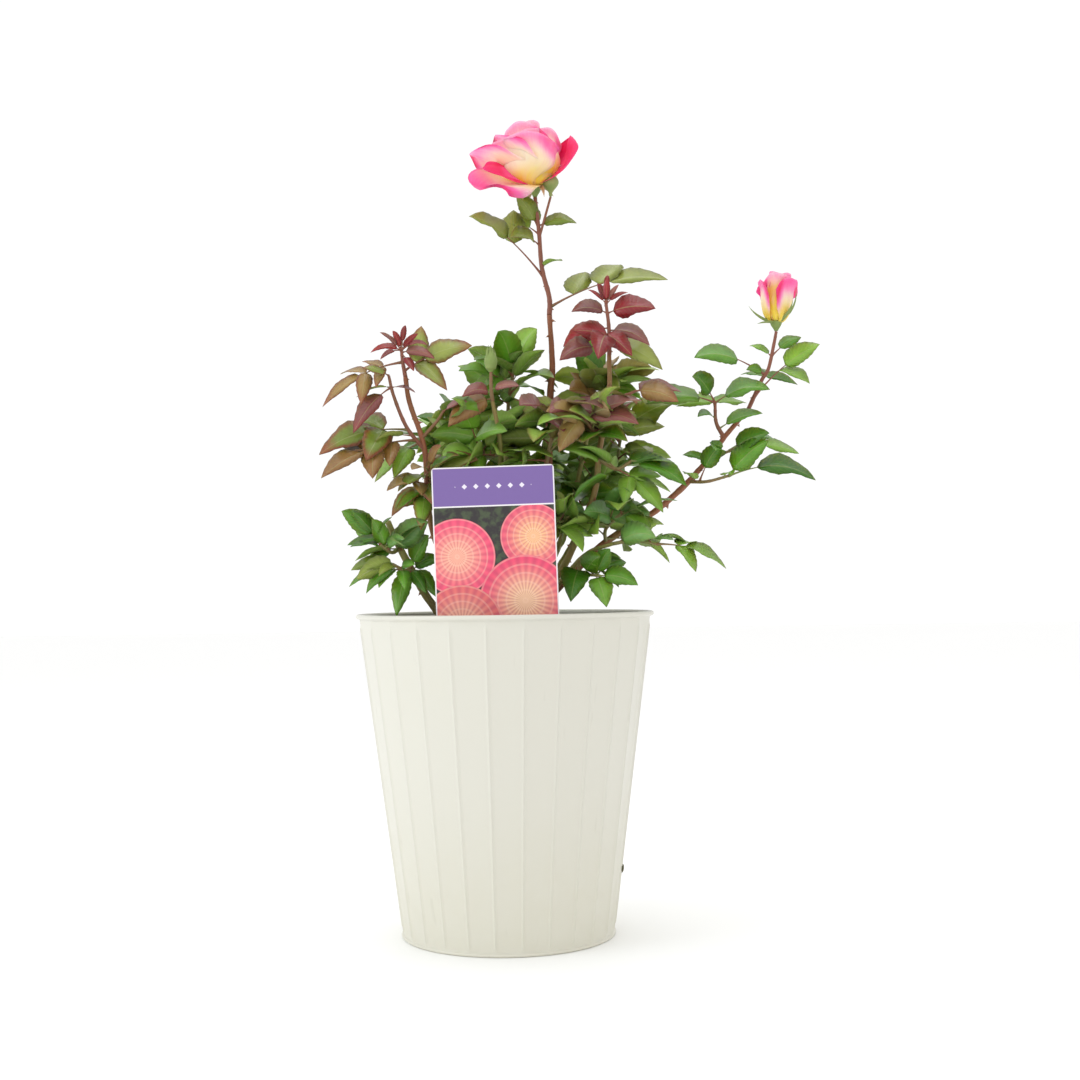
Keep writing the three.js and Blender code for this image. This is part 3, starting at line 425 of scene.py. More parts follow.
# the crumbs: eight-sided lumps, most of them small, strewn and tipped at random over the bed
CRUMBS, LARGEST = 900, 4.5
rng = np.random.default_rng(17)
away = (inner - 5) * np.sqrt(rng.uniform(0.01, 1, CRUMBS))
around = rng.uniform(0, 2 * math.pi, CRUMBS)
centre = np.stack([away * np.cos(around), away * np.sin(around)], -1)
size = rng.gamma(2.2, 0.75, CRUMBS)[:, None, None] * rng.uniform(0.5, 1.4, (CRUMBS, 1, 3)) + 0.5
lump_corners = np.array([[1, 0, 0], [0, 1, 0], [-1, 0, 0], [0, -1, 0], [0, 0, 0.8], [0, 0, -0.8]], float)
lumps = lump_corners * np.minimum(size, LARGEST) * rng.uniform(0.7, 1.2, (CRUMBS, 6, 1))
spin = rng.uniform(0, 2 * math.pi, CRUMBS)
tip = rng.uniform(-0.6, 0.6, CRUMBS)
x = lumps[..., 0] * np.cos(spin)[:, None] - lumps[..., 1] * np.sin(spin)[:, None]
y = lumps[..., 0] * np.sin(spin)[:, None] + lumps[..., 1] * np.cos(spin)[:, None]
z = lumps[..., 2] + x * np.sin(tip)[:, None]
crumbs = np.stack([x + centre[:, :1], y + centre[:, 1:], z + soil_height(*centre.T)[:, None] + 0.5], -1)
lump_faces = np.array([[0, 1, 4, 4], [1, 2, 4, 4], [2, 3, 4, 4], [3, 0, 4, 4], [1, 0, 5, 5], [2, 1, 5, 5],
                       [3, 2, 5, 5], [0, 3, 5, 5]])
faces = (lump_faces + len(lump_corners) * np.arange(CRUMBS)[:, None, None]).reshape(-1, 4)
chip = Paint("bark_crumbs")
where = chip.place()
tone = chip.noise(where, 60.0, 1.0)
grain = chip.noise(where, 800.0, 4.0, 0.7)
shade = chip.mix(tone.between(0.4, 0.62), srgb(46, 36, 28), srgb(98, 72, 48))
bark_crumbs = chip.finish(chip.mix(grain * 0.5, shade, srgb(38, 30, 24)), 0.85,
                          Normal=chip.bump(grain, 0.0012, 0.8))
scatter = make("soil_crumbs", crumbs, faces, [bark_crumbs], smooth=False)
for piece in (soil, scatter):
    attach(piece, "root")
    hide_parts("soil")

# The label: a thin printed plastic card with round corners, die-cut with a stake that is pushed into the
# soil. Its print is a purple head with a row of lozenges, a white rule, and paper fans on a dark ground: a
# fan has its middle, its radius, its folds, and the colours of its hub and its edge.
LABEL = {"width": 96.0, "top": 384.0, "bottom": 262.0, "x": -5.5, "y": -95.0, "lean": 1.4, "thickness": 0.8,
         "corner": 3.0, "head": 31.0}
STAKE = {"width": 22.0, "point": 6.0, "depth": 55.0}
LOZENGES = {"pitch": 9.0, "edge": (1.9, 2.3), "row": 30.0}
FANS = (
    (30.0, 66.0, 26.0, 22.0, srgb(255, 206, 150), srgb(236, 96, 120)),
    (-30.0, 52.0, 30.0, 26.0, srgb(255, 190, 160), srgb(244, 84, 120)),
    (22.0, 16.0, 36.0, 30.0, srgb(252, 214, 170), srgb(238, 74, 112)),
    (-28.0, -2.0, 32.0, 28.0, srgb(255, 200, 170), srgb(232, 110, 110)),
)
CHART_SPAN = 100.0


def label_outline():
    """The card's outline from its lower left corner round: stake, foot, and two rounded top corners. Its
    origin is the middle of the card's foot."""
    half, tall, r = LABEL["width"] / 2, LABEL["top"] - LABEL["bottom"], LABEL["corner"]
    low = [(-half, 0), (-STAKE["width"] / 2, 0), (-STAKE["point"] / 2, -STAKE["depth"]),
           (STAKE["point"] / 2, -STAKE["depth"]), (STAKE["width"] / 2, 0), (half, 0)]
    quarter = np.radians(np.linspace(0, 90, 7))
    right = [(half - r + r * math.cos(a), tall - r + r * math.sin(a)) for a in quarter]
    left = [(r - half - r * math.sin(a), tall - r + r * math.cos(a)) for a in quarter]
    return np.array(low + right + left)


card = Paint("printed_card")
u, v = card.chart()
tall = LABEL["top"] - LABEL["bottom"]
picture_top = tall - LABEL["head"]
x, y = u * CHART_SPAN, v * CHART_SPAN
where = card.vector(x, y)
leafy = card.noise(where, 0.16, 3.0)
print_colour = card.mix(leafy.between(0.42, 0.66), srgb(40, 34, 36), srgb(66, 78, 52))


def fan(colour, cx, cy, radius, folds, hub, edge):
    """A paper fan laid over the print: a disc whose colour runs from hub to edge, pleated by the sine of
    its folds times the bearing, and ringed by bands."""
    dx, dy = x - cx, y - cy
    span = (dx * dx + dy * dy).one("SQRT") / radius
    bearing = card.node("Math", {"operation": "ARCTAN2"}, {0: dy, 1: dx})
    pleat = (bearing * folds).one("SINE") * 0.5 + 0.5
    band = (span * 34.0).one("SINE").between(0.6, 0.95)
    paper = card.mix(span.between(0.1, 0.95), hub, edge)
    paper = card.mix(pleat * 0.45, paper, srgb(188, 52, 96))
    paper = card.mix(band * 0.25, paper, srgb(255, 214, 190))
    return card.mix(1.0 - span.between(0.985, 1.0), colour, paper)


for one_fan in FANS:
    print_colour = fan(print_colour, *one_fan)
head = y.between(picture_top, picture_top + 0.3)
print_colour = card.mix(head, print_colour, srgb(120, 95, 160))
dot = abs((x / LOZENGES["pitch"]).one("FRACT") - 0.5) * LOZENGES["pitch"]
across_row = abs(y - (picture_top + LABEL["head"] * 0.5))
lozenge = (1.0 - (dot + across_row).between(*LOZENGES["edge"])) * (abs(x) < LOZENGES["row"])
print_colour = card.mix(lozenge * head, print_colour, srgb(232, 226, 238))
edge_gap = card.node("Math", {"operation": "MINIMUM"}, {0: LABEL["width"] / 2 - abs(x), 1: tall - y})
rule = 1.0 - edge_gap.between(0.9, 1.1)
rule = card.node("Math", {"operation": "MAXIMUM"}, {0: rule, 1: (abs(y - picture_top) < 0.55)})
print_colour = card.mix(rule, print_colour, srgb(238, 234, 236))
print_colour = card.mix((y < 0.0), print_colour, srgb(206, 200, 196))
printed_card = card.finish(print_colour, 0.32 + leafy * 0.1, Coat_Weight=0.2)
back = Paint("card_back")
speck = back.noise(back.place(), 300.0, 3.0)
card_back = back.finish(back.mix(speck, srgb(232, 230, 226), srgb(224, 221, 214)), 0.45,
                        Normal=back.bump(speck, 0.0001, 0.3))
outline = label_outline()
tilt = math.radians(-LABEL["lean"])
sheets = []
for offset in (-LABEL["thickness"] / 2, LABEL["thickness"] / 2):
    x = LABEL["x"] + outline[:, 0] * math.cos(tilt) + outline[:, 1] * math.sin(tilt)
    z = LABEL["bottom"] - outline[:, 0] * math.sin(tilt) + outline[:, 1] * math.cos(tilt)
    sheets.append(np.column_stack([x, np.full(len(x), LABEL["y"] + offset), z]))
n = len(outline)
mesh = bpy.data.meshes.new("label_card")
front, rear = list(range(n)), list(range(2 * n - 1, n - 1, -1))
walls = [(k, n + k, n + (k + 1) % n, (k + 1) % n) for k in range(n)]
mesh.from_pydata((np.concatenate(sheets) * 0.001).tolist(), [], [front, rear] + walls)
mesh.materials.append(printed_card)
mesh.materials.append(card_back)
mesh.polygons.foreach_set("material_index", [0] + [1] * (n + 1))
layer = mesh.uv_layers.new(name="map")
corner = np.zeros(len(mesh.loops), int)
mesh.loops.foreach_get("vertex_index", corner)
layer.data.foreach_set("uv", (np.tile(outline, (2, 1))[corner] / CHART_SPAN).ravel())
mesh.update()
label = bpy.data.objects.new("label_card", mesh)
bpy.context.scene.collection.objects.link(label)
soften = label.modifiers.new("worn_edge", "BEVEL")
soften.width = 0.00018
soften.segments = 2
soften.limit_method = "ANGLE"
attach(label, "root")
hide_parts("label")

# The wood: a knobby bud union at soil level and the canes that spring from it, each one tapering limb.
# Young rose wood is green with a red-brown flush on its sunny side, ringed by a scar at each node. A cane
# has the radii of its foot and tip, and the points that it grows through.
CANES = {
    "cane_tall": ((4, 2.3), (
        (20, 2, 270), (36, 6, 345), (40, 8, 441), (43, 8, 477), (41, 5, 520))),
    "cane_right_tip": ((3.3, 2), (
        (24, -5, 270), (52, -24, 311), (74, -38, 364), (79, -42, 400), (87, -45, 443), (88, -45, 478))),
    "cane_left_tip": ((3.2, 1.9), (
        (10, -6, 270), (-45, -28, 310), (-60, -40, 345), (-64, -42, 402), (-76, -42, 442), (-79, -42, 462))),
    "cane_long_right": ((4, 2.2), (
        (28, -2, 270), (80, -12, 322), (128, -20, 352), (160, -20, 381), (187, -20, 414), (205, -20, 434))),
    "cane_mid_left": ((2.7, 1.7), (
        (12, -8, 272), (-3, -36, 350), (-2, -50, 404), (-8, -50, 440))),
    "cane_low_right": ((2.5, 1.6), (
        (26, -10, 268), (52, -38, 300), (68, -50, 316), (88, -58, 323))),
    "cane_left_low": ((3.7, 2.6), (
        (-43, -46, 255), (-64, -50, 284), (-84, -58, 322), (-93, -62, 343))),
    "cane_centre": ((3, 1.8), (
        (20, -9, 272), (26, -34, 330), (34, -44, 385))),
    "cane_high_left": ((3.1, 1.8), (
        (14, 5, 272), (2, 22, 350), (4, 18, 430))),
    "cane_high_right": ((3.1, 1.8), (
        (25, 6, 272), (56, 24, 350), (74, 16, 425))),
    "cane_back_left": ((3, 1.8), (
        (12, 8, 270), (-18, 48, 330), (-38, 66, 385))),
    "cane_back_right": ((3, 1.8), (
        (25, 9, 270), (62, 52, 330), (92, 62, 380))),
    "cane_back": ((2.9, 1.8), (
        (19, 11, 270), (22, 62, 315), (26, 88, 355))),
}
GIRTH, LONG_CANE_GIRTH = 0.92, 0.78
FLARE = {"proud": 0.9, "reach": 9.0}
SCAR = {"spacing": 24.0, "swell": 0.09, "width": 0.055}
SUNNED = {"cane_tall": 0.7, "cane_right_tip": 0.35, "cane_left_tip": 0.6, "cane_long_right": 0.75}
SHADED = 0.1


def along_curve(points, steps):
    """A uniform Catmull-Rom curve through points: its places and its tangents at even shares, where the
    neighbour beyond each end is the end's own mirror image of its neighbour."""
    p = np.asarray(points, float)
    p = np.concatenate([[2 * p[0] - p[1]], p, [2 * p[-1] - p[-2]]])
    at = np.asarray(steps, float) * (len(p) - 3)
    k = np.minimum(at.astype(int), len(p) - 4)
    t = (at - k)[:, None]
    a, b, c, d = p[k], p[k + 1], p[k + 2], p[k + 3]
    place = b + 0.5 * t * (c - a + t * (2 * a - 5 * b + 4 * c - d + t * (3 * (b - c) + d - a)))
    tangent = 0.5 * (c - a + t * (2 * (2 * a - 5 * b + 4 * c - d) + 3 * t * (3 * (b - c) + d - a)))
    return place, tangent / np.linalg.norm(tangent, axis=1)[:, None]


def unit(v):
    """Vectors shortened or drawn out to a length of 1."""
    return v / np.maximum(np.linalg.norm(v, axis=-1, keepdims=True), 1e-9)


def tube(place, tangent, radius, sides):
    """A profile carried along a path: circles of a radius each, square to the path, with both ends
    drawn to a point. Returns points and quads."""
    spread = np.ptp(place, axis=0)
    aside = np.eye(3)[int(np.argmin(spread))]
    across = unit(np.cross(aside, tangent))
    third = np.cross(tangent, across)
    turn = np.linspace(0, 2 * math.pi, sides, endpoint=False)
    radius = np.asarray(radius, float)
    radius = radius[:, None] if radius.ndim == 1 else radius
    rings = (place[:, None] + (radius * np.cos(turn))[..., None] * across[:, None]
             + (radius * np.sin(turn))[..., None] * third[:, None])
    first = np.broadcast_to(place[0] - 1e-4 * tangent[0], (1, sides, 3))
    last = np.broadcast_to(place[-1] + 0.4 * radius[-1].mean() * tangent[-1], (1, sides, 3))
    rings = np.concatenate([first, rings, last])
    return rings.reshape(-1, 3), grid_quads(len(rings), sides, wrap=True)


def gather(parts):
    """Several (points, quads) as one."""
    start = np.cumsum([0] + [len(points) for points, _ in parts])
    return np.concatenate([points for points, _ in parts]), np.concatenate(
        [quads + n for (_, quads), n in zip(parts, start)])


def cane_surface(name, steps=90, sides=16):
    """A cane's tube. Its radius tapers evenly, flares at the foot as exp(-run / reach), swells at each
    evenly spaced node, and is roughened by fine ridges along the bark."""
    (foot, tip), path = CANES[name]
    girth = LONG_CANE_GIRTH if name == "cane_long_right" else GIRTH
    seed = sum(map(ord, name))
    t = np.linspace(0, 1, steps)
    place, tangent = along_curve(path, t)
    run = np.concatenate([[0], np.cumsum(np.linalg.norm(np.diff(place, axis=0), axis=1))])
    radius = girth * (foot + (tip - foot) * t) + FLARE["proud"] * np.exp(-run / FLARE["reach"])
    node = np.exp(-(((run / SCAR["spacing"] + 0.3 * math.sin(seed)) % 1.0 - 0.5) / SCAR["width"]) ** 2)
    radius = radius * (1 + SCAR["swell"] * node)
    turn = np.linspace(0, 2 * math.pi, sides, endpoint=False)
    ring = np.stack(np.broadcast_arrays(40 * np.cos(turn), 40 * np.sin(turn), run[:, None] * 0.35), -1)
    relief = 0.07 * ripple(ring, 9, seed) + 0.05 * ripple(ring, 4, seed + 1)
    return tube(place, tangent, radius[:, None] * (1 + relief), sides)


wood = Paint("rose_bark")
where = wood.place()
_, _, height = wood.axes(where)
fine = wood.noise(where, 420.0, 5.0, 0.7)
broad = wood.noise(where, 34.0, 3.0, 0.6)
strand = wood.noise(wood.node("Mapping", {}, {0: where, 3: (1.0, 1.0, 0.12)}), 900.0, 3.0)
young = height.between(0.30, 0.47)
green_bark = wood.mix(broad, srgb(122, 122, 56), srgb(158, 148, 84))
red_bark = wood.mix(broad, srgb(122, 70, 44), srgb(160, 96, 62))
sunned = wood.value("sunned")
colour = wood.mix((young * 0.2 + sunned * 0.5 + broad * 0.6).between(0.38, 0.78), green_bark, red_bark)
colour = wood.mix((1.0 - height.between(0.27, 0.31)) * 0.6, colour, srgb(104, 84, 54))
lenticel = wood.cells(where, 300.0) < 0.14
colour = wood.mix(lenticel * 0.35 + strand.between(0.55, 0.75) * 0.2, colour, srgb(178, 150, 110))
rose_bark = wood.finish(colour, 0.46 + fine * 0.25, Normal=wood.bump(fine * 0.6 + strand * 0.5, 0.0006, 0.6))
limbs = [cane_surface(name) for name in CANES]
points, quads = gather(limbs)
sunned = np.concatenate([np.full(len(limb[0]), SUNNED.get(name, SHADED)) for name, limb in zip(CANES, limbs)])
canes = make("canes", points, quads, [rose_bark], values={"sunned": sunned})

# the bud union: a knob of old wood, half sunk in the soil, turned round its axis and made lumpy
turn = np.linspace(0, 2 * math.pi, 44, endpoint=False)
tall = UNION["height"]
profile = np.array([(UNION["foot"] + 1.5, -3), (UNION["foot"] + 0.5, 0), (UNION["belly"] - 0.6, 0.3 * tall),
                    (UNION["belly"] - 1, 0.5 * tall), (0.78 * UNION["belly"], 0.8 * tall),
                    (0.62 * UNION["belly"], 0.93 * tall), (UNION["top"] - 2, tall - 0.8), (1e-3, tall)])
fine_rows = np.linspace(0, len(profile) - 1, 34)
r, z = (np.interp(fine_rows, np.arange(len(profile)), profile[:, k]) for k in (0, 1))
knob = np.stack([r[:, None] * np.cos(turn), r[:, None] * np.sin(turn), z[:, None] + 0 * turn], -1)
bulge = 1 + 0.07 * ripple(knob, 16, 21) + 0.03 * ripple(knob, 5, 22)
knob = knob * np.stack([bulge, bulge, np.ones_like(bulge)], -1) * UNION["fit"]
knob = knob + [UNION["x"], UNION["y"], SOIL_TOP + 0.3]
union = make("bud_union_knob", knob, grid_quads(len(r), len(turn), wrap=True), [rose_bark])
for piece, nodes in ((canes, list(CANES)), (union, ["bud_union"])):
    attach(piece, "root")
    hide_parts(*nodes)

# The prickles: flat-based hooked thorns that the bark carries, red when young, about one to every two
# centimetres of a cane or flowering shoot. Each is turned 137.5 degrees round the stem from the last.
TURN = 137.5
PRICKLE = {"spacing": 21.0, "length": 4.6, "base": 2.6, "first": 0.08, "last": 0.97, "full_girth": 3.0,
           "sunk": 0.85, "hook": 0.35, "along": 1.7, "across": 0.8, "point": 0.05, "sides": 5}


def prickles_on(path, foot, tip, seed):
    """Hooked cones on a limb: flat rings that shrink as (1 - s)^1.3 along a parabola bent down towards the
    limb's foot by hook times s^2. They are smaller on a thin limb."""
    place = along_curve(path, np.linspace(0, 1, 60))[0]
    rng = np.random.default_rng(seed)
    count = max(1, int(np.linalg.norm(np.diff(place, axis=0), axis=1).sum() / PRICKLE["spacing"]))
    at = np.linspace(PRICKLE["first"], PRICKLE["last"], count) + rng.uniform(-0.02, 0.02, count)
    base, way = along_curve(path, at)
    spin = np.radians(TURN * np.arange(count) + rng.uniform(0, 360))
    side = unit(np.cross(way, [0.31, 0.92, 0.24]))
    out = side * np.cos(spin)[:, None] + np.cross(way, side) * np.sin(spin)[:, None]
    girth = (foot + (tip - foot) * at) * PRICKLE["sunk"]
    long = PRICKLE["length"] * rng.uniform(0.6, 1.1, count) * np.clip(girth / PRICKLE["full_girth"], 0.55, 1.0)
    s = np.array([0, 0.35, 0.7, 1.0])
    turn = np.linspace(0, 2 * math.pi, PRICKLE["sides"], endpoint=False)
    core = ((base + out * girth[:, None])[:, None] + out[:, None] * (long[:, None] * s)[..., None]
            - way[:, None] * (PRICKLE["hook"] * long[:, None] * s ** 2)[..., None])
    stout = np.clip(girth / PRICKLE["full_girth"], 0.5, 1.0)[:, None]
    thick = (0.5 * PRICKLE["base"] * stout * (1 - s) ** 1.3 + PRICKLE["point"])[..., None]
    flat = np.cross(out, way)
    rings = (core[:, :, None] + (PRICKLE["along"] * thick * np.cos(turn))[..., None] * way[:, None, None]
             + (PRICKLE["across"] * thick * np.sin(turn))[..., None] * flat[:, None, None])
    one = grid_quads(len(s), len(turn), wrap=True)
    quads = (one + len(s) * len(turn) * np.arange(count)[:, None, None]).reshape(-1, 4)[:, ::-1]
    return rings.reshape(-1, 3), quads


thorn = Paint("red_thorn")
tone = thorn.noise(thorn.place(), 90.0, 2.0)
red_thorn = thorn.finish(thorn.mix(tone, srgb(122, 62, 44), srgb(168, 118, 82)), 0.4 + tone * 0.15)
points, quads = gather([prickles_on(path, *radii, 7 * k + 1) for k, (radii, path) in enumerate(CANES.values())])
prickles = make("prickles_canes", points, quads, [red_thorn])
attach(prickles, "root")
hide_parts(*CANES)

# The foliage is grown by one rule, mass by mass. A shoot's stem leaves its cane, leaves stand on it where
# they are placed, and a spiral deals the rest: each a turn of 137.5 degrees on from the last. A leaf is an
# arched stalk, a terminal leaflet, and pairs of smaller leaflets below it.
SPIRAL = {"start": 0.06, "climb": (-12, 62), "reach": (0.85, 0.35), "size": (0.85, 0.3), "lean": 35}
LEAF = {"arch": 0.16, "stretch": 1.05, "least_stalk": 0.12, "lowest_pair": 0.1, "pair_angle": 62,
        "first_pair": 0.16, "pair_step": 0.44, "pair_sizes": (0.84, 0.7, 0.54), "width": 0.64, "grown": 36,
        "droop": 0.14, "crown": 0.05, "stalk": 0.85}
TINTS = {
    "green": (srgb(80, 140, 24), srgb(138, 182, 64)),
    "deep": (srgb(58, 112, 14), srgb(98, 156, 40)),
    "fresh": (srgb(114, 168, 40), srgb(172, 202, 92)),
    "olive": (srgb(112, 136, 36), srgb(150, 162, 74)),
    "bronze": (srgb(142, 98, 52), srgb(164, 136, 78)),
    "purple": (srgb(122, 58, 60), srgb(164, 102, 94)),
    "crimson": (srgb(122, 12, 24), srgb(164, 34, 44)),
    "blue": (srgb(82, 138, 52), srgb(130, 174, 92)),
}
UP = np.array([0.0, 0.0, 1.0])


def dice(seed):
    """The source's repeatable run of numbers from 0 to 1: each is the last times 16807, modulo 2^31 - 1."""
    state = seed
    while True:
        state = state * 16807 % 2147483647
        yield state / 2147483647


def spiral_leaves(path, count, first, reach, size, seed):
    """The leaves that the spiral deals round a stem, evenly spaced along it. Each reaches out at its own
    bearing and climb, and has five leaflets or three."""
    roll = dice(seed)
    rolled = lambda pair: pair[0] + pair[1] * next(roll)
    leaves = []
    for i in range(count):
        at = SPIRAL["start"] + (1 - SPIRAL["start"]) * (i + 0.5) / count
        bearing = first + TURN * i
        climb = math.radians(rolled(SPIRAL["climb"]))
        out = reach * rolled(SPIRAL["reach"])
        way = np.array([math.cos(climb) * math.cos(math.radians(bearing)),
                        math.cos(climb) * math.sin(math.radians(bearing)), math.sin(climb)])
        tip = along_curve(path, [at])[0][0] + out * way
        leaflets = 5 if next(roll) < 0.5 else 3
        leaves.append((at, *tip, size * rolled(SPIRAL["size"]), leaflets, SPIRAL["lean"], 0, bearing))
    return leaves


def bezier(a, b, c, t):
    """The point at t of a quadratic Bezier curve, and its tangent."""
    t = np.asarray(t, float)[..., None]
    return (1 - t) ** 2 * a + 2 * t * (1 - t) * b + t * t * c, unit((1 - t) * (b - a) + t * (c - b))


def square_to(a, b):
    """The part of a that is square to b."""
    return unit(a - (a * b).sum(-1, keepdims=True) * b)


def leaf_plan(path, at, x, y, z, size, leaflets, lean, sides=0, bearing=-90, slim=1.0):
    """A leaf's stalk as three control points and its neck, and its leaflets as three control points, the
    sky that each faces, its length, and how slim it is. The stalk is arched from the stem to the leaf's
    tip, its crest raised by arch times its reach. The end leaflet lies along it from the neck on, and the
    pairs stand off it at their angle, drooping a little."""
    foot, tip = along_curve(path, [at])[0][0], np.array([x, y, z], float)
    reach = np.linalg.norm(tip - foot)
    crest = (foot + tip) / 2 + UP * LEAF["arch"] * reach
    length = LEAF["stretch"] * reach
    neck = max(LEAF["least_stalk"], 1 - size / length)
    tipped = math.radians(lean)
    facing = math.radians(bearing)
    sky = np.array([math.sin(tipped) * math.cos(facing), math.sin(tipped) * math.sin(facing), math.cos(tipped)])
    start = bezier(foot, crest, tip, neck)[0]
    blades = [(start, crest + (tip - crest) * neck, tip, sky, (1 - neck) * length, slim)]
    for k in range((leaflets - 1) // 2):
        low = neck - (LEAF["first_pair"] + LEAF["pair_step"] * k) * size / length
        if low < LEAF["lowest_pair"]:
            continue
        base, way = bezier(foot, crest, tip, low)
        side = np.cross(square_to(sky, way), way)
        angle = math.radians(LEAF["pair_angle"])
        for hand in (1, -1):
            if sides == -hand:
                continue
            out = unit(way * math.cos(angle) + hand * side * math.sin(angle) - UP * LEAF["droop"])
            end = base + out * size * LEAF["pair_sizes"][k]
            crown = (base + end) / 2 + sky * LEAF["crown"] * size
            blades.append((base, crown, end, sky, size * LEAF["pair_sizes"][k], slim))
    return (foot, crest, tip, neck), blades


ROWS, COLUMNS = 14, 3
BLADE = {"thickness": 0.32, "tooth": 0.035, "widths": (0.86, 1.06), "tilt": 0.12, "fold": (0.06, 0.34),
         "wave": (0.0, 0.12), "waves": 1.6, "hang": (0.0, 0.2)}


def leaflet_sheets(blades, seed):
    """All the leaflets at once, each a closed blade: a grid above, and one below that shares its rim and
    lies a leaf's thickness under it. Half the width is 2.5 s^0.55 (1 - s)^0.95 of half the leaflet's own,
    with every second row of the rim out by a tooth. The blade is folded up from its midrib in proportion
    to the way across, its margins wave as a sine of s, and its tip hangs down as s^2.6."""
    a, b, c, sky, length, narrow = (np.array([blade[k] for blade in blades]) for k in range(6))
    rng = np.random.default_rng(seed)
    n = len(blades)
    s = np.linspace(0, 1, ROWS)
    u = np.linspace(-1, 1, COLUMNS)
    t = s[None, :, None]
    centre, along = bezier(a[:, None], b[:, None], c[:, None], s[None])
    width = length * LEAF["width"] * (0.55 + 0.45 * np.minimum(1, length / LEAF["grown"])) * narrow
    width = width * rng.uniform(*BLADE["widths"], n)
    sky = unit(sky + rng.normal(0, BLADE["tilt"], (n, 3)))
    up = square_to(np.broadcast_to(sky[:, None], along.shape), along)
    across = np.cross(up, along)
    half = (width / 2)[:, None] * (2.5 * s ** 0.55 * (1 - s) ** 0.95 + 0.012)
    teeth = 1 + BLADE["tooth"] * np.where(np.arange(ROWS) % 2 == 1, 1, -1)[:, None]
    wide = half[:, :, None] * u * np.where(np.abs(u) == 1, teeth, 1.0)
    fold, wave, phase = (rng.uniform(*limits, n)[:, None, None]
                         for limits in (BLADE["fold"], BLADE["wave"], (0, 1)))
    wave = wave * np.sin(2 * math.pi * (BLADE["waves"] * t + phase + 0.25 * u))
    rise = half[:, :, None] * (fold * np.abs(u) + wave * u ** 2)
    hang = rng.uniform(*BLADE["hang"], n)[:, None, None] * length[:, None, None] * t ** 2.6
    top = (centre[:, :, None] + wide[..., None] * across[:, :, None] + rise[..., None] * up[:, :, None]
           - hang[..., None] * UP)
    normal = unit(np.cross(np.gradient(top, axis=1), np.gradient(top, axis=2)))
    under = (top - BLADE["thickness"] * normal)[:, 1:-1, 1:-1]
    # the lower grid has its own points inside, and those of the upper grid round the rim
    above = np.arange(ROWS * COLUMNS).reshape(ROWS, COLUMNS)
    below = above.copy()
    below[1:-1, 1:-1] = ROWS * COLUMNS + np.arange((ROWS - 2) * (COLUMNS - 2)).reshape(ROWS - 2, COLUMNS - 2)
    sheet = grid_quads(ROWS, COLUMNS)
    one = np.concatenate([sheet, below.ravel()[sheet[:, [0, 3, 2, 1]]]])
    each = ROWS * COLUMNS + (ROWS - 2) * (COLUMNS - 2)
    points = np.concatenate([top.reshape(n, -1, 3), under.reshape(n, -1, 3)], 1)
    quads = (one[None] + each * np.arange(n)[:, None, None]).reshape(-1, 4)
    kind = np.tile(np.repeat([0, 1], len(sheet)), n)
    chart = np.stack(np.broadcast_arrays(u[None, :] * 0.5 + 0.5, s[:, None]), -1)
    chart = np.concatenate([chart.reshape(-1, 2), chart[1:-1, 1:-1].reshape(-1, 2)])
    return points.reshape(-1, 3), quads, kind, np.tile(chart, (n, 1)), each


def leaf_paint(name, under):
    """A leaf's skin: its own tint, paler veins that run forward from the midrib, a red flush at the edge
    where it is young, a waxy gloss above that the underside lacks, and a little light let through."""
    skin = Paint(name)
    tint = skin.node("Attribute", {"attribute_name": "tint"}, {})
    young = skin.value("young")
    u, v = skin.chart()
    aside = abs(u * 2.0 - 1.0)
    where = skin.place()
    cloud = skin.noise(where, 70.0, 4.0, 0.6)
    fine = skin.noise(where, 900.0, 2.0)
    midrib = 1.0 - aside.between(0.015, 0.07)
    ribs = abs(((v - aside * 0.22) * 9.0).one("FRACT") - 0.5) * 2.0
    veins = ribs.between(0.8, 0.99) * (1.0 - aside.between(0.75, 1.0) * 0.5)
    quilt = (1.0 - ribs) * (1.0 - midrib)
    colour = skin.mix(cloud.between(0.3, 0.75) * 0.32, tint, skin.mix(0.75, tint, srgb(40, 62, 18), "MULTIPLY"))
    edge = (aside.between(0.45, 1.05) + v.between(0.55, 1.05) * 0.9 + cloud * 0.5 - 0.2) * young
    colour = skin.mix(edge.between(0.0, 1.0) * 0.8, colour, srgb(146, 52, 48))
    if under:
        colour = skin.mix(0.34, colour, srgb(154, 168, 96))
        colour = skin.mix(midrib * 0.6 + veins * 0.2, colour, srgb(176, 176, 132))
        rough = 0.62 + fine * 0.1
        height = midrib * 1.2 + veins * 0.8 + cloud * 0.3
    else:
        colour = skin.mix(midrib * 0.34 + veins * 0.09, colour, srgb(164, 170, 104))
        rough = 0.34 + cloud * 0.16 + fine * 0.05
        height = quilt * 0.45 + cloud * 0.5 - midrib * 0.6
    return skin.finish(colour, rough, Normal=skin.bump(height, 0.0005, 0.4), Specular_IOR_Level=0.36,
                       Coat_Weight=0.0 if under else 0.3, Coat_Roughness=0.12, Subsurface_Weight=0.14,
                       Subsurface_Radius=(1.0, 0.8, 0.3), Subsurface_Scale=0.0012)


leaf_top, leaf_under = leaf_paint("leaf_top", False), leaf_paint("leaf_under", True)


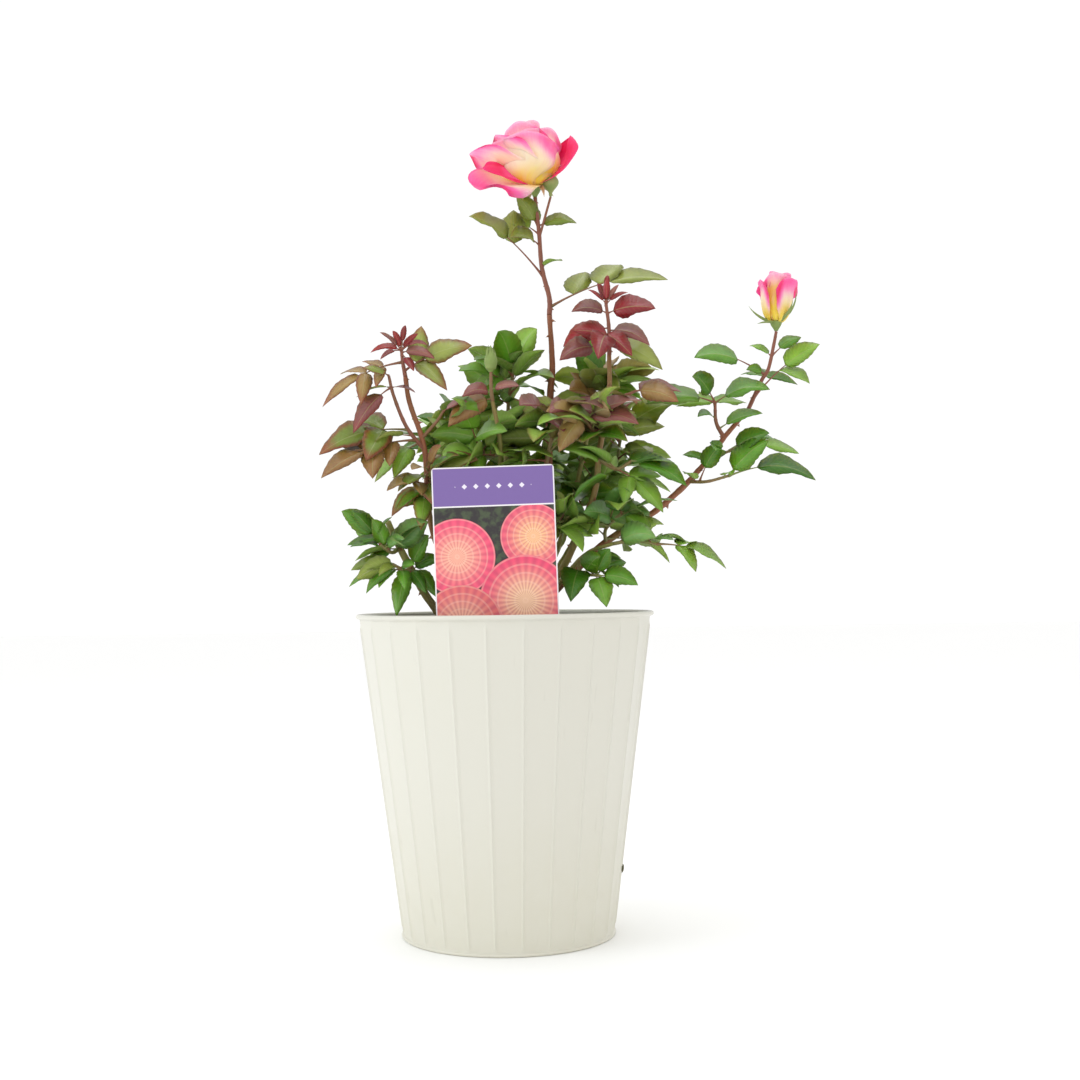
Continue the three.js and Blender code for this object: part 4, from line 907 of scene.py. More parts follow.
def twig_paint():
    """Green stalks, flushed red on the young shoots by the twig's own blush."""
    skin = Paint("green_twig")
    blush = skin.value("blush")
    where = skin.place()
    cloud = skin.noise(where, 60.0, 3.0, 0.6)
    fine = skin.noise(where, 600.0, 3.0)
    green = skin.mix(cloud, srgb(104, 120, 58), srgb(142, 146, 84))
    red = skin.mix(cloud, srgb(116, 64, 49), srgb(150, 92, 70))
    colour = skin.mix((blush * 0.9 + cloud * 0.4).between(0.3, 0.8), green, red)
    return skin.finish(colour, 0.42 + fine * 0.2, Normal=skin.bump(fine, 0.0004, 0.5))


green_twig = twig_paint()
KNUCKLE = {"swell": 0.12, "width": 0.09, "to_a_point": 1.5}
STALK_FLARE, STALK_TAPER, STALK_RINGS = 0.9, 0.55, 9
CLEAR = 1.2
NEAR_TIP = 0.85
FILL = {"slack": 3.0, "lean": (20, 60), "turn": (-45, 60)}
limb_points = np.concatenate([along_curve(path, np.linspace(0, 1, 70))[0] for _, path in CANES.values()])
limb_radii = np.concatenate([np.linspace(*radii, 70) for radii, _ in CANES.values()])


def clears_limbs(stalk):
    """Whether a leaf's outer half keeps well clear of the bark of every cane."""
    foot, crest, tip, _ = stalk
    spots = bezier(foot, crest, tip, np.linspace(0.45, 1, 7))[0]
    gap = np.linalg.norm(spots[:, None] - limb_points[None], axis=2) - limb_radii[None]
    return gap.min() > CLEAR


def stem_path(spec):
    """The points of a mass's stem, from its place on its cane."""
    cane_path = CANES[spec["cane"]][1]
    return np.concatenate([along_curve(cane_path, [spec["start"]])[0], np.array(spec["path"], float)])


def fill_leaves(name, path, count, reach, size, seed):
    """Finer leaves between the placed ones: dealt by the same spiral from the same stem, kept only where
    they stay in the space of their mass, and each tipped and turned a little its own way."""
    low, high = (np.array(corner) * 1000.0 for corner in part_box(name))
    roll = dice(seed + 7)
    rolled = lambda pair: pair[0] + pair[1] * next(roll)
    first = 60 + 31 * seed % 360
    kept = []
    for leaf in spiral_leaves(path, count, first, reach, size, seed):
        tip = np.array(leaf[1:4])
        if np.all(tip > low - FILL["slack"]) and np.all(tip < high + FILL["slack"]):
            lean = rolled(FILL["lean"])
            kept.append(leaf[:6] + (lean, 0, leaf[8] * 0.5 + rolled(FILL["turn"])))
    return kept


def grow(region, masses):
    """The stems, stalks and leaflets of a region's masses, as pieces that replace them: one of twigs, one
    of leaves and, where a stem is thorny, one of prickles.

    A mass names its cane and how far up it starts, its stem's radii and points, and its leaves: how far up
    the stem, the tip, the length of the end leaflet, the number of leaflets, the lean of the blade and, if
    need be, the side that lacks its leaflets and the bearing of the lean. A spiral deals it more leaves,
    fill adds finer ones, and more adds single ones of a given tint. Leaves take the tints in turn; those
    from young_from up take the young ones. Blush reddens the twigs, flush the leaves' edges; slim is the
    width of the leaflets near the stem's tip, and broad that of the others."""
    limbs, blush, blades, tints, youth, thorns = [], [], [], [], [], []
    stalk_width = LEAF["stalk"] * (1 + STALK_FLARE * np.exp(-np.linspace(0, 6, STALK_RINGS)))
    stalk_width = stalk_width * np.linspace(1, STALK_TAPER, STALK_RINGS)
    for name, spec in masses.items():
        path = stem_path(spec)
        seed = sum(map(ord, name))
        rng = np.random.default_rng(seed)
        t = np.linspace(0, 1, 8 * len(path))
        place, tangent = along_curve(path, t)
        girth = spec["radii"][0] + (spec["radii"][1] - spec["radii"][0]) * t
        knuckle = (t * len(path) * KNUCKLE["to_a_point"]) % 1.0 - 0.5
        girth = girth * (1 + KNUCKLE["swell"] * np.exp(-(knuckle / KNUCKLE["width"]) ** 2))
        limbs.append(tube(place, tangent, girth, 9))
        red = spec.get("blush", 0.4)
        blush.append(np.full(len(limbs[-1][0]), red))
        if spec.get("thorns"):
            thorns.append(prickles_on(path, *spec["radii"], seed))
        dealt = list(spec["leaves"])
        if "spiral" in spec:
            dealt += [leaf[:6] + (leaf[6] + rng.uniform(0, 32),) + leaf[7:]
                      for leaf in spiral_leaves(path, *spec["spiral"])]
        placed = len(dealt)
        if "fill" in spec:
            dealt += fill_leaves(name, path, *spec["fill"], seed)
        more, first_more = spec.get("more", ()), len(dealt)
        dealt += [leaf for _, leaf in more]
        for index, leaf in enumerate(dealt):
            high = leaf[0] >= spec.get("young_from", 2.0) and index < placed
            slim = spec.get("slim" if leaf[0] > NEAR_TIP and index < placed else "broad", 1.0)
            stalk, leaflets = leaf_plan(path, *leaf, slim=slim)
            if len(spec["leaves"]) <= index < first_more and not clears_limbs(stalk):
                continue
            foot, crest, tip, neck = stalk
            spots, ways = bezier(foot, crest, tip, np.linspace(0, neck * 1.01, STALK_RINGS))
            limbs.append(tube(spots, ways, stalk_width, 5))
            names = spec["young"] if high else spec["tints"]
            tint = more[index - first_more][0] if index >= first_more else names[index % len(names)]
            first, second = TINTS[tint]
            tone = first + (np.array(second) - first) * rng.uniform(0, 1)
            red_edge = spec.get("flush", 0.15) * rng.uniform(0.3, 1.4)
            blush.append(np.full(len(limbs[-1][0]), min(1.0, red + 0.3 * rng.uniform(-1, 1))))
            for blade in leaflets:
                blades.append(blade)
                tints.append(tone * rng.uniform(0.88, 1.12))
                youth.append(red_edge)
    points, quads = gather(limbs)
    twigs = make("twigs_" + region, points, quads, [green_twig], values={"blush": np.concatenate(blush)})
    points, quads, kind, chart, each = leaflet_sheets(blades, sum(map(ord, region)))
    values = {"tint": np.repeat(np.array(tints), each, 0), "young": np.repeat(np.array(youth), each)}
    leaves = make("leaves_" + region, points, quads, [leaf_top, leaf_under], chart, values, kind)
    made = [twigs, leaves]
    if thorns:
        made.append(make("prickles_" + region, *gather(thorns), [red_thorn]))
    for piece in made:
        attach(piece, "root")
        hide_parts(*masses)


# The middle of the bush: the tall shoot that carries the open bloom, and the leafy shoots round it, which
# fill the crown. The tall shoot's leaves are olive, the others fresh green with purple and bronze ones.
MIDDLE = {
    "shoot_bloom": dict(
        cane="cane_tall", start=1, radii=(2.3, 1.6),
        path=((41, 4, 535), (35, 2, 560), (33, 0, 589), (30, -2, 619)),
        leaves=(
            (0.12, 141, -10, 550, 54, 5, 40, 1),
            (0.42, -26, -22, 603, 46, 3, 48, -1),
            (0.5, 52, -16, 563, 30, 1, 35),
            (0.66, 8, -30, 584, 34, 1, 66),
            (0.8, 65, -5, 601, 34, 1, 50),
            (0.74, 2, 12, 606, 30, 1, 45),
            (0.78, 14, -8, 621, 30, 1, 78, 0, -75),
        ),
        tints=("olive", "olive", "fresh"), blush=0.75, flush=0.3, thorns=True,
        more=(("green", (0.8, 24, 9, 617, 28, 1, 80, 0, -75)),),
    ),
    "shoot_high_left": dict(
        cane="cane_high_left", start=1, radii=(1.8, 1.2),
        path=((6, 10, 452), (10, 2, 472)),
        leaves=(
            (1, -3, -22, 508, 44, 3, 60),
            (1, 30, -8, 513, 40, 3, 60),
            (0.7, -36, -24, 472, 36, 3, 45),
        ),
        spiral=(5, 40, 58, 44, 11),
        tints=("green", "fresh", "green", "deep"), blush=0.4, fill=(14, 46, 36),
    ),
    "shoot_high_right": dict(
        cane="cane_high_right", start=1, radii=(1.8, 1.2),
        path=((80, 10, 445), (86, 4, 462)),
        leaves=(
            (1, 62, -6, 500, 40, 3, 50),
            (0.8, 118, -4, 452, 40, 3, 40),
        ),
        spiral=(6, 70, 58, 44, 23),
        tints=("green", "fresh", "olive", "bronze"), blush=0.5, fill=(14, 46, 36),
    ),
    "shoot_centre": dict(
        cane="cane_centre", start=1, radii=(1.8, 1.2),
        path=((40, -50, 412), (44, -50, 436)),
        leaves=(),
        spiral=(8, 200, 58, 44, 5),
        tints=("green", "purple", "olive", "fresh", "bronze"), blush=0.4, flush=0.4, fill=(5, 48, 38),
    ),
    "spray_inner_front": dict(
        cane="cane_centre", start=0.55, radii=(1.7, 1.1),
        path=((42, -46, 338), (54, -52, 346)),
        leaves=(),
        spiral=(7, 300, 54, 42, 83),
        tints=("green", "olive", "fresh"), blush=0.3, fill=(5, 44, 36),
    ),
    "spray_centre_low": dict(
        cane="cane_long_right", start=0.22, radii=(1.7, 1.1),
        path=((84, -34, 336), (98, -40, 350)),
        leaves=(),
        spiral=(8, 20, 54, 42, 97),
        tints=("green", "fresh", "blue"), blush=0.3, fill=(6, 44, 36),
    ),
    "spray_centre_right": dict(
        cane="cane_right_tip", start=0.66, radii=(1.7, 1.1),
        path=((72, -66, 414), (64, -78, 424)),
        leaves=(),
        spiral=(7, 250, 52, 42, 101),
        tints=("green", "purple", "bronze", "fresh", "purple"), blush=0.5, flush=0.4, fill=(4, 44, 34),
        more=(("bronze", (1, 44, -88, 396, 42, 1, 72)),
              ("purple", (0.9, 108, -86, 423, 42, 1, 50)),
              ("bronze", (0.8, 34, -90, 430, 36, 1, 60))),
    ),
    "spray_left_fill": dict(
        cane="cane_mid_left", start=0.62, radii=(1.6, 1.1),
        path=((-14, -34, 396), (-24, -28, 410)),
        leaves=(),
        spiral=(5, 190, 54, 42, 113),
        tints=("green", "fresh", "green"), blush=0.3, fill=(5, 46, 36),
    ),
}
grow("middle", MIDDLE)

# The left side: a young cane whose tip is still crimson, with olive, bronze and purple leaves below it,
# and low green sprays that hang over the rim.
LEFT = {
    "shoot_left_tip": dict(
        cane="cane_left_tip", start=1, radii=(1.8, 1.3),
        path=((-81, -42, 474), (-82, -42, 484)),
        leaves=(
            (1, -107, -46, 486, 26, 1, 50),
            (1, -89, -42, 502, 18, 1, 60),
            (1, -68, -40, 498, 22, 1, 60),
            (1, -99, -50, 498, 20, 1, 40),
            (1, -78, -48, 506, 18, 1, 75),
            (1, -60, -58, 489, 22, 1, 50),
            (1, -98, -60, 475, 18, 1, 40),
            (0.9, -54, -48, 480, 28, 1, 45),
            (0.8, -71, -60, 464, 20, 1, 60),
            (0.5, -146, -50, 442, 36, 5, 40),
            (0.2, -24, -50, 486, 44, 3, 58),
        ),
        tints=("olive", "bronze"), young=("crimson", "crimson", "crimson", "purple"), young_from=0.79,
        slim=0.66, broad=0.8, blush=0.8, flush=0.6, thorns=True,
    ),
    "spray_left_outer": dict(
        cane="cane_left_tip", start=0.6, radii=(1.8, 1.2),
        path=((-78, -48, 420), (-88, -50, 445), (-92, -50, 462)),
        leaves=(
            (1, -113, -56, 468, 22, 3, 50),
            (0.8, -120, -62, 419, 36, 1, 30),
            (0.8, -119, -45, 448, 28, 1, 10),
            (0.8, -70, -58, 448, 26, 1, 15),
            (0.3, -148, -58, 402, 48, 5, 40),
            (0.15, -144, -80, 380, 42, 5, 40),
            (0.1, -106, -30, 378, 36, 3, 30),
        ),
        tints=("olive", "purple", "olive", "purple", "olive", "bronze", "green"), blush=0.6, flush=0.9,
        fill=(3, 42, 30),
    ),
    "spray_left_inner": dict(
        cane="cane_left_tip", start=0.64, radii=(1.6, 1.1),
        path=((-54, -47, 424), (-48, -52, 432)),
        leaves=(
            (1, -28, -62, 441, 34, 3, 45),
            (0.6, -50, -10, 420, 38, 5, 30),
        ),
        tints=("purple", "green", "bronze"), blush=0.5, flush=0.5, fill=(4, 38, 30),
    ),
    "spray_left_mid": dict(
        cane="cane_left_tip", start=0.48, radii=(1.6, 1.1),
        path=((-62, -54, 376), (-60, -60, 386)),
        leaves=(
            (1, -49, -76, 404, 34, 3, 60),
            (0.7, -84, -74, 368, 34, 3, 45),
            (0.2, -90, -62, 350, 34, 3, 35),
            (0.5, -20, -62, 395, 36, 5, 40),
            (0.9, -72, -86, 384, 34, 3, 60),
            (0.4, -56, -80, 356, 34, 3, 60),
            (0.1, -66, -76, 340, 32, 3, 60),
        ),
        tints=("bronze", "olive", "green", "olive"), blush=0.6, flush=0.8, fill=(12, 40, 32),
    ),
    "spray_low_left": dict(
        cane="cane_left_low", start=0.66, radii=(1.8, 1.2),
        path=((-90, -70, 318), (-98, -76, 324)),
        leaves=(
            (1, -129, -72, 354, 36, 3, 50),
            (0.9, -119, -60, 335, 38, 1, 45),
            (0.4, -60, -74, 344, 38, 3, 60),
            (0.9, -121, -88, 323, 42, 1, 30),
            (0.7, -104, -84, 346, 34, 3, 50),
            (0.8, -78, -88, 330, 34, 3, 60),
            (0.3, -112, -56, 310, 34, 3, 50),
        ),
        tints=("deep", "green", "blue"), blush=0.3, fill=(14, 40, 32),
    ),
    "spray_low_left_hang": dict(
        cane="cane_left_low", start=0.5, radii=(1.7, 1.1),
        path=((-80, -70, 304), (-88, -78, 308)),
        leaves=(
            (0.9, -121, -82, 307, 42, 3, 35),
            (0.9, -109, -84, 290, 32, 1, 55),
            (0.6, -78, -92, 290, 34, 1, 70),
            (0.3, -86, -76, 272, 30, 3, 50),
            (0.9, -98, -96, 302, 34, 3, 60),
            (0.7, -70, -92, 308, 34, 3, 60),
            (0.2, -62, -76, 286, 32, 3, 70),
        ),
        tints=("olive", "deep", "deep", "green"), blush=0.3, fill=(14, 40, 32),
        more=(("deep", (0, -50, -62, 316, 34, 1, 62)),
              ("deep", (0, -54, -66, 286, 34, 2, 60)),
              ("green", (0.1, -60, -70, 334, 32, 1, 55))),
    ),
    "shoot_mid_left": dict(
        cane="cane_mid_left", start=1, radii=(1.7, 1.3),
        path=((-9, -50, 452), (-9, -50, 464)),
        leaves=(
            (0.3, -32, -66, 447, 32, 3, 58),
            (0.4, 14, -64, 452, 30, 1, 58),
            (0.1, -44, -62, 424, 40, 3, 50),
        ),
        tints=("purple", "purple", "bronze"), blush=0.5, flush=0.4, fill=(5, 40, 32),
    ),
}
grow("left", LEFT)

# The right side: an upright young cane with a crimson tip, bronze leaves under it, and low round leaves at
# the rim.
RIGHT = {
    "shoot_right_tip": dict(
        cane="cane_right_tip", start=1, radii=(1.9, 1.3),
        path=((88, -45, 500), (86, -45, 520)),
        leaves=(
            (1, 79, -44, 540, 20, 1, 70),
            (1, 87, -48, 542, 22, 1, 80),
            (1, 97, -42, 537, 20, 1, 60),
            (1, 71, -46, 533, 18, 1, 50),
            (1, 104, -48, 530, 18, 1, 45),
            (1, 88, -38, 548, 18, 1, 60),
            (0.8, 57, -55, 516, 34, 3, 50),
            (0.8, 125, -60, 514, 46, 3, 55),
            (0.5, 50, -52, 484, 40, 3, 50),
            (0.4, 76, -88, 474, 36, 3, 70),
            (0.45, 120, -60, 489, 38, 3, 50),
            (0.15, 131, -50, 471, 40, 3, 45),
        ),
        tints=("green", "olive"), young=("crimson", "crimson", "purple", "crimson"), young_from=0.39, slim=0.6,
        blush=0.85, flush=0.5, thorns=True,
        more=(("purple", (0.1, 46, -76, 474, 36, 1, 58)),),
    ),
    "spray_right_bronze": dict(
        cane="cane_right_tip", start=0.8, radii=(1.7, 1.1),
        path=((100, -50, 444), (108, -52, 447)),
        leaves=(
            (1, 142, -64, 438, 40, 3, 60),
            (0.9, 148, -38, 449, 44, 3, 40),
            (0.3, 80, -76, 425, 36, 3, 50),
        ),
        tints=("bronze", "purple", "green"), blush=0.6, flush=0.6, fill=(7, 42, 32),
    ),
    "spray_right_low": dict(
        cane="cane_right_tip", start=0.56, radii=(1.7, 1.1),
        path=((92, -50, 384), (104, -54, 390)),
        leaves=(
            (1, 148, -62, 372, 48, 5, 40),
            (0.8, 128, -50, 396, 34, 3, 40),
            (0.5, 128, -66, 350, 34, 3, 45),
            (0.2, 50, -70, 400, 38, 5, 45),
        ),
        tints=("green", "deep", "green"), blush=0.4, fill=(8, 44, 34),
    ),
    "shoot_low_right": dict(
        cane="cane_low_right", start=1, radii=(1.6, 1.1),
        path=((104, -62, 325), (122, -66, 322)),
        leaves=(
            (0.1, 121, -78, 333, 42, 1, 60),
            (1, 178, -66, 305, 36, 5, 28),
            (0.3, 130, -52, 345, 36, 3, 40),
        ),
        tints=("blue", "green", "fresh"), blush=0.3, broad=1.15, fill=(4, 36, 28),
    ),
    "spray_rim_right": dict(
        cane="cane_low_right", start=0.5, radii=(1.6, 1.1),
        path=((62, -58, 300), (76, -70, 297)),
        leaves=(
            (1, 106, -76, 291, 32, 3, 70),
            (0.9, 80, -86, 274, 32, 1, 70),
            (0.9, 84, -78, 320, 28, 1, 75),
            (0.6, 76, -84, 313, 36, 1, 70),
            (0.3, 52, -82, 282, 36, 3, 60),
        ),
        tints=("deep", "green"), blush=0.3, broad=1.25, slim=1.25, fill=(5, 36, 30),
    ),
}
grow("right", RIGHT)

# The long cane that leans out to the right under its half-open bud. It is sparsely set with large, deep
# green leaves, each on a stalk of its own.
LONG_CANE = {
    "shoot_long_tip": dict(
        cane="cane_long_right", start=1, radii=(1.8, 1.25),
        path=((217, -20, 459), (223, -20, 469), (228, -20, 490), (230, -20, 499.8)),
        leaves=(
            (0.1, 264, -32, 487, 38, 3, 40, -1),
            (0.35, 158, -42, 481, 44, 1, 45),
            (0.35, 202, -34, 468, 20, 1, 75),
            (0.62, 253, -10, 497, 26, 1, 45),
            (0.62, 208, -14, 491, 22, 1, 35),
            (0.15, 240, 34, 474, 34, 3, 35),
        ),
        tints=("green", "deep", "green", "deep"), blush=0.8, flush=0.2, thorns=True,
    ),
    "spray_long_mid": dict(
        cane="cane_long_right", start=0.78, radii=(1.9, 1.2),
        path=((178, -22, 424), (177, -25, 440)),
        leaves=(
            (1, 155, -50, 464, 34, 1, 60),
            (1, 118, -40, 443, 50, 3, 40),
            (1, 220, -42, 455, 42, 1, 40),
            (0.6, 160, -42, 430, 24, 1, 30),
            (0.3, 215, -34, 430, 34, 3, 25),
            (0.8, 180, 36, 452, 40, 5, 30),
        ),
        tints=("deep", "green", "deep", "blue"), blush=0.6, flush=0.2,
    ),
    "spray_long_upper": dict(
        cane="cane_long_right", start=0.66, radii=(1.6, 1.1),
        path=((178, -26, 396), (190, -28, 400)),
        leaves=(
            (0.6, 172, -56, 401, 30, 1, 70),
            (1, 218, -48, 412, 42, 1, 68),
            (1, 249, -12, 400, 34, 1, 40),
            (0.1, 150, -16, 398, 28, 1, 40),
            (0.9, 234, 10, 415, 34, 1, 35),
        ),
        tints=("deep", "deep", "green"), blush=0.4, flush=0.1,
    ),
    "spray_long_low": dict(
        cane="cane_long_right", start=0.56, radii=(1.6, 1.1),
        path=((168, -32, 374), (185, -38, 378)),
        leaves=(
            (1, 254, -54, 382, 50, 1, 40),
            (0.9, 184, -64, 379, 24, 1, 55),
            (0.2, 148, -48, 383, 28, 1, 35),
        ),
        tints=("deep", "fresh", "green"), blush=0.4, flush=0.1,
        more=(("deep", (0.3, 179, -46, 407, 32, 1, 62)), ("deep", (1, 217, -48, 407, 46, 1, 60))),
    ),
}
grow("long_cane", LONG_CANE)

# The back of the bush and its inside, as full as the front: three leafy shoots and two sprays between the
# inner canes, all of a mature green.
BACK = {
    "shoot_back_left": dict(
        cane="cane_back_left", start=1, radii=(1.8, 1.2),
        path=((-46, 70, 410), (-50, 68, 432)),
        leaves=(),
        spiral=(6, 90, 62, 46, 31),
        tints=("green", "deep", "fresh"), blush=0.4, fill=(9, 52, 38),
    ),
    "shoot_back_right": dict(
        cane="cane_back_right", start=1, radii=(1.8, 1.2),
        path=((102, 64, 404), (104, 60, 428)),
        leaves=(),
        spiral=(6, 10, 62, 46, 47),
        tints=("green", "deep", "olive"), blush=0.4, fill=(9, 52, 38),
    ),
    "shoot_back": dict(
        cane="cane_back", start=1, radii=(1.8, 1.2),
        path=((28, 92, 380), (28, 90, 408)),
        leaves=(),
        spiral=(6, 60, 62, 46, 53),
        tints=("green", "deep", "fresh"), blush=0.4, fill=(9, 52, 38),
    ),
    "spray_inner_right": dict(
        cane="cane_high_right", start=0.55, radii=(1.7, 1.1),
        path=((76, 40, 362), (86, 46, 374)),
        leaves=(),
        spiral=(8, 330, 58, 44, 67),
        tints=("deep", "green"), blush=0.3, fill=(7, 48, 36),
    ),
    "spray_inner_left": dict(
        cane="cane_high_left", start=0.5, radii=(1.7, 1.1),
        path=((-20, 34, 356), (-30, 38, 372)),
        leaves=(),
        spiral=(6, 170, 58, 44, 71),
        tints=("deep", "green"), blush=0.3, fill=(7, 48, 36),
    ),
}
grow("back", BACK)

# The open bloom: a hybrid tea rose on its green hip, a high rolled heart in cream and pink, broad outer
# petals with magenta edges, the lowest turned down. Every petal is one soft curved sheet.
PETAL = {"narrow": 0.1, "span": 0.74, "root": 5.0, "thickness": 0.5, "thin_edge": 0.03, "flat": 0.66,
         "roll": 2.4, "shoulder": 0.21}


def thickened(sheet):
    """Both faces of a petal: its middle sheet moved each way along its own normal by half its thickness
    times (1 - u^4)(1 - v^8), and by a thin edge more."""
    rows, columns = sheet.shape[:2]
    normal = unit(np.cross(np.gradient(sheet, axis=0), np.gradient(sheet, axis=1)))
    v = np.linspace(0, 1, rows)[:, None]
    u = np.linspace(-1, 1, columns)[None]
    half = (0.5 * PETAL["thickness"] * (1 - u ** 4) * (1 - v ** 8) + PETAL["thin_edge"])[..., None]
    chart = np.stack(np.broadcast_arrays(u * 0.5 + 0.5, v), -1)
    return sheet - half * normal, sheet + half * normal, chart


def wrapped_petal(bearing, spread, radius, height, opening, spiral=1.0, lip=0.0, ruffle=0.0, dip=0.16, lag=0.0,
                  belly=0.5, claw=0.34, rows=23, columns=27):
    """A broad petal that wraps round the flower's axis. Up its middle it bulges to its radius as a quarter
    ellipse, which ends at the belly's share of its height, and then opens or closes towards the rim.
    Across, it spans the bearing plus or minus its spread, from the claw's share of that at its foot to all
    of it, and its bearing turns by lag on the way up. It drops at its shoulders by dip times u^2.6 and,
    where the claw is narrow, by u^9 as well. It moves off the axis by spiral times u, so that each side
    overlaps its neighbour. Its rim rolls outward by lip, and waves by ruffle."""
    v = np.linspace(0, 1, rows)[:, None]
    u = np.linspace(-1, 1, columns)[None]
    wide = claw + (1 - claw) * smooth_step(v, 0.0, 0.5)
    up = v * (1 - dip * np.abs(u) ** 2.6 - PETAL["shoulder"] * (1 - claw) * np.abs(u) ** 9)
    turn = np.radians(bearing + spread * u * wide + lag * v)
    swell = np.sqrt(np.clip(1 - (1 - np.clip(up / belly, 0, 1)) ** 2, 0, 1))
    reach = radius * (0.12 + 0.88 * swell) * (1 + opening * smooth_step(up, 0.3, 1.05) ** 1.2)
    roll = smooth_step(v, 0.76, 1.0) + 0.5 * smooth_step(np.abs(u), 0.78, 1.0) * smooth_step(v, 0.3, 0.7)
    wave = np.sin(4.3 * u + bearing) * smooth_step(v, 0.55, 1.0)
    reach = reach + spiral * u * v + lip * roll ** 1.5 + ruffle * wave
    rise = height * up ** 1.12 - 0.45 * abs(lip) * roll ** 2
    rise = rise + 0.7 * ruffle * np.cos(6.1 * u + bearing) * v ** 4
    return thickened(np.stack([reach * np.cos(turn), reach * np.sin(turn), rise], -1))


def spread_petal(bearing, length, width, slopes, cup, curl=0.0, ruffle=0.0, shift=0.0, rows=23, columns=17):
    """A petal as the source lays it: its centre line climbs at a slant that runs from the first slope to
    the second as v^0.9; half its width is sin(pi (0.1 + 0.74 v))^0.8, drawn in at the rim; it is cupped by
    the square of the way across. Here its margins also roll back as arcs of 2.4 curl radians, its edge
    ripples by ruffle, and one side is raised by shift."""
    v = np.linspace(0, 1, rows)
    u = np.linspace(-1, 1, columns)
    slant = np.radians(slopes[0] + (slopes[1] - slopes[0]) * v ** 0.9 + 60 * curl * smooth_step(v, 0.7, 1.0))
    aim = math.radians(bearing)
    out = np.array([math.cos(aim), math.sin(aim), 0.0])
    side = np.array([-math.sin(aim), math.cos(aim), 0.0])
    way = np.sin(slant)[:, None] * out + np.cos(slant)[:, None] * UP
    steps = (way[1:] + way[:-1]) / 2 * length / (rows - 1)
    centre = np.concatenate([np.zeros((1, 3)), np.cumsum(steps, axis=0)])
    face = np.cross(side, way)
    half = width / 2 * np.sin(math.pi * (PETAL["narrow"] + PETAL["span"] * v)) ** 0.8
    half = (half * np.sqrt(1 - 0.82 * np.clip((v - 0.7) / 0.3, 0, 1) ** 3))[:, None]
    flat, margin = PETAL["flat"], 1 - PETAL["flat"]
    bend = PETAL["roll"] * curl * smooth_step(v, 0.1, 0.5)[:, None] + 1e-3
    past = np.clip((np.abs(u) - flat) / margin, 0, 1)[None]
    wide = half * np.sign(u) * (np.minimum(np.abs(u), flat) + margin * np.sin(bend * past) / bend)
    depth = cup * 1.6 * half * u ** 2 - margin * half * (1 - np.cos(bend * past)) / bend
    depth += ruffle * np.sin(5.0 * u + bearing)[None] * smooth_step(v, 0.5, 1.0)[:, None] * half * 0.3
    depth += shift * half * u * 0.4
    lift = -0.08 * length * (np.abs(u) ** 2.5)[None, :] * smooth_step(v, 0.6, 1.0)[:, None]
    sheet = (centre[:, None] + wide[..., None] * side - depth[..., None] * face[:, None]
             + lift[..., None] * way[:, None])
    return thickened(sheet)


def closed_sheet(inner, outer):
    """Two grids of points that lie back to back, closed round their rims: the points, the quads, and 0
    for each quad of the inner face and 1 for the others."""
    rows, columns = inner.shape[:2]
    sheet = grid_quads(rows, columns)
    count = rows * columns
    rim = np.concatenate([np.arange(rows) * columns, (rows - 1) * columns + np.arange(1, columns),
                          np.arange(rows - 1)[::-1] * columns + columns - 1, np.arange(1, columns - 1)[::-1]])
    after = np.roll(rim, -1)
    wall = np.stack([rim, rim + count, after + count, after], -1)
    return np.concatenate([inner.reshape(-1, 3), outer.reshape(-1, 3)]), np.concatenate(
        [sheet[:, ::-1], sheet + count, wall]), [0] * len(sheet) + [1] * (len(sheet) + len(wall))


def petal_paint(name, outside):
    """A petal's skin: yellow at the claw by the petal's own gold, cream and peach above, pink and then
    magenta towards the edge by its own flush, paler on its back, with fine veins from claw to edge."""
    skin = Paint(name)
    flush = skin.value("flush")
    gold = skin.value("gold")
    u, v = skin.chart()
    aside = abs(u * 2.0 - 1.0)
    where = skin.place()
    cloud = skin.noise(where, 55.0, 3.0, 0.6)
    vein = skin.noise(skin.vector(u * 46.0, v * 3.0, flush * 9.0), 1.0, 3.0, 0.6)
    fine = skin.noise(where, 1200.0, 2.0)
    edge = (v.between(0.45, 1.0) * 0.95 + aside.between(0.5, 1.0) * v.between(0.15, 0.6) * (0.7 + flush * 0.5)
            + (vein - 0.5) * 0.3 + (cloud - 0.5) * 0.45 + flush * 0.8 - 0.25)
    colour = skin.mix((v - gold * 0.35).between(-0.05, 0.34), srgb(252, 210, 70), srgb(254, 228, 196))
    peach = skin.noise(skin.vector(u * 5.0, v * 2.2, flush * 7.0 + gold * 3.0), 1.0, 2.0)
    colour = skin.mix(peach.between(0.42, 0.68) * 0.5, colour, srgb(252, 206, 160))
    colour = skin.mix(edge.between(0.0, 0.75), colour, srgb(252, 168, 196))
    colour = skin.mix(edge.between(0.4, 1.05), colour, srgb(250, 84, 158))
    colour = skin.mix((edge + v * 0.15).between(1.02, 1.6), colour, srgb(234, 22, 100))
    if outside:
        colour = skin.mix(0.34 * (1.0 - edge.between(0.3, 1.1)), colour, srgb(254, 228, 196))
    colour = skin.mix((vein.between(0.5, 0.75)) * 0.16, colour, srgb(246, 132, 160))
    return skin.finish(colour, 0.55 + fine * 0.1, Normal=skin.bump(vein * 0.8 + fine * 0.3, 0.0003, 0.3),
                       Subsurface_Weight=0.45, Subsurface_Radius=(1.0, 0.7, 0.6), Subsurface_Scale=0.002)


petal_inside, petal_outside = petal_paint("petal_inside", False), petal_paint("petal_outside", True)


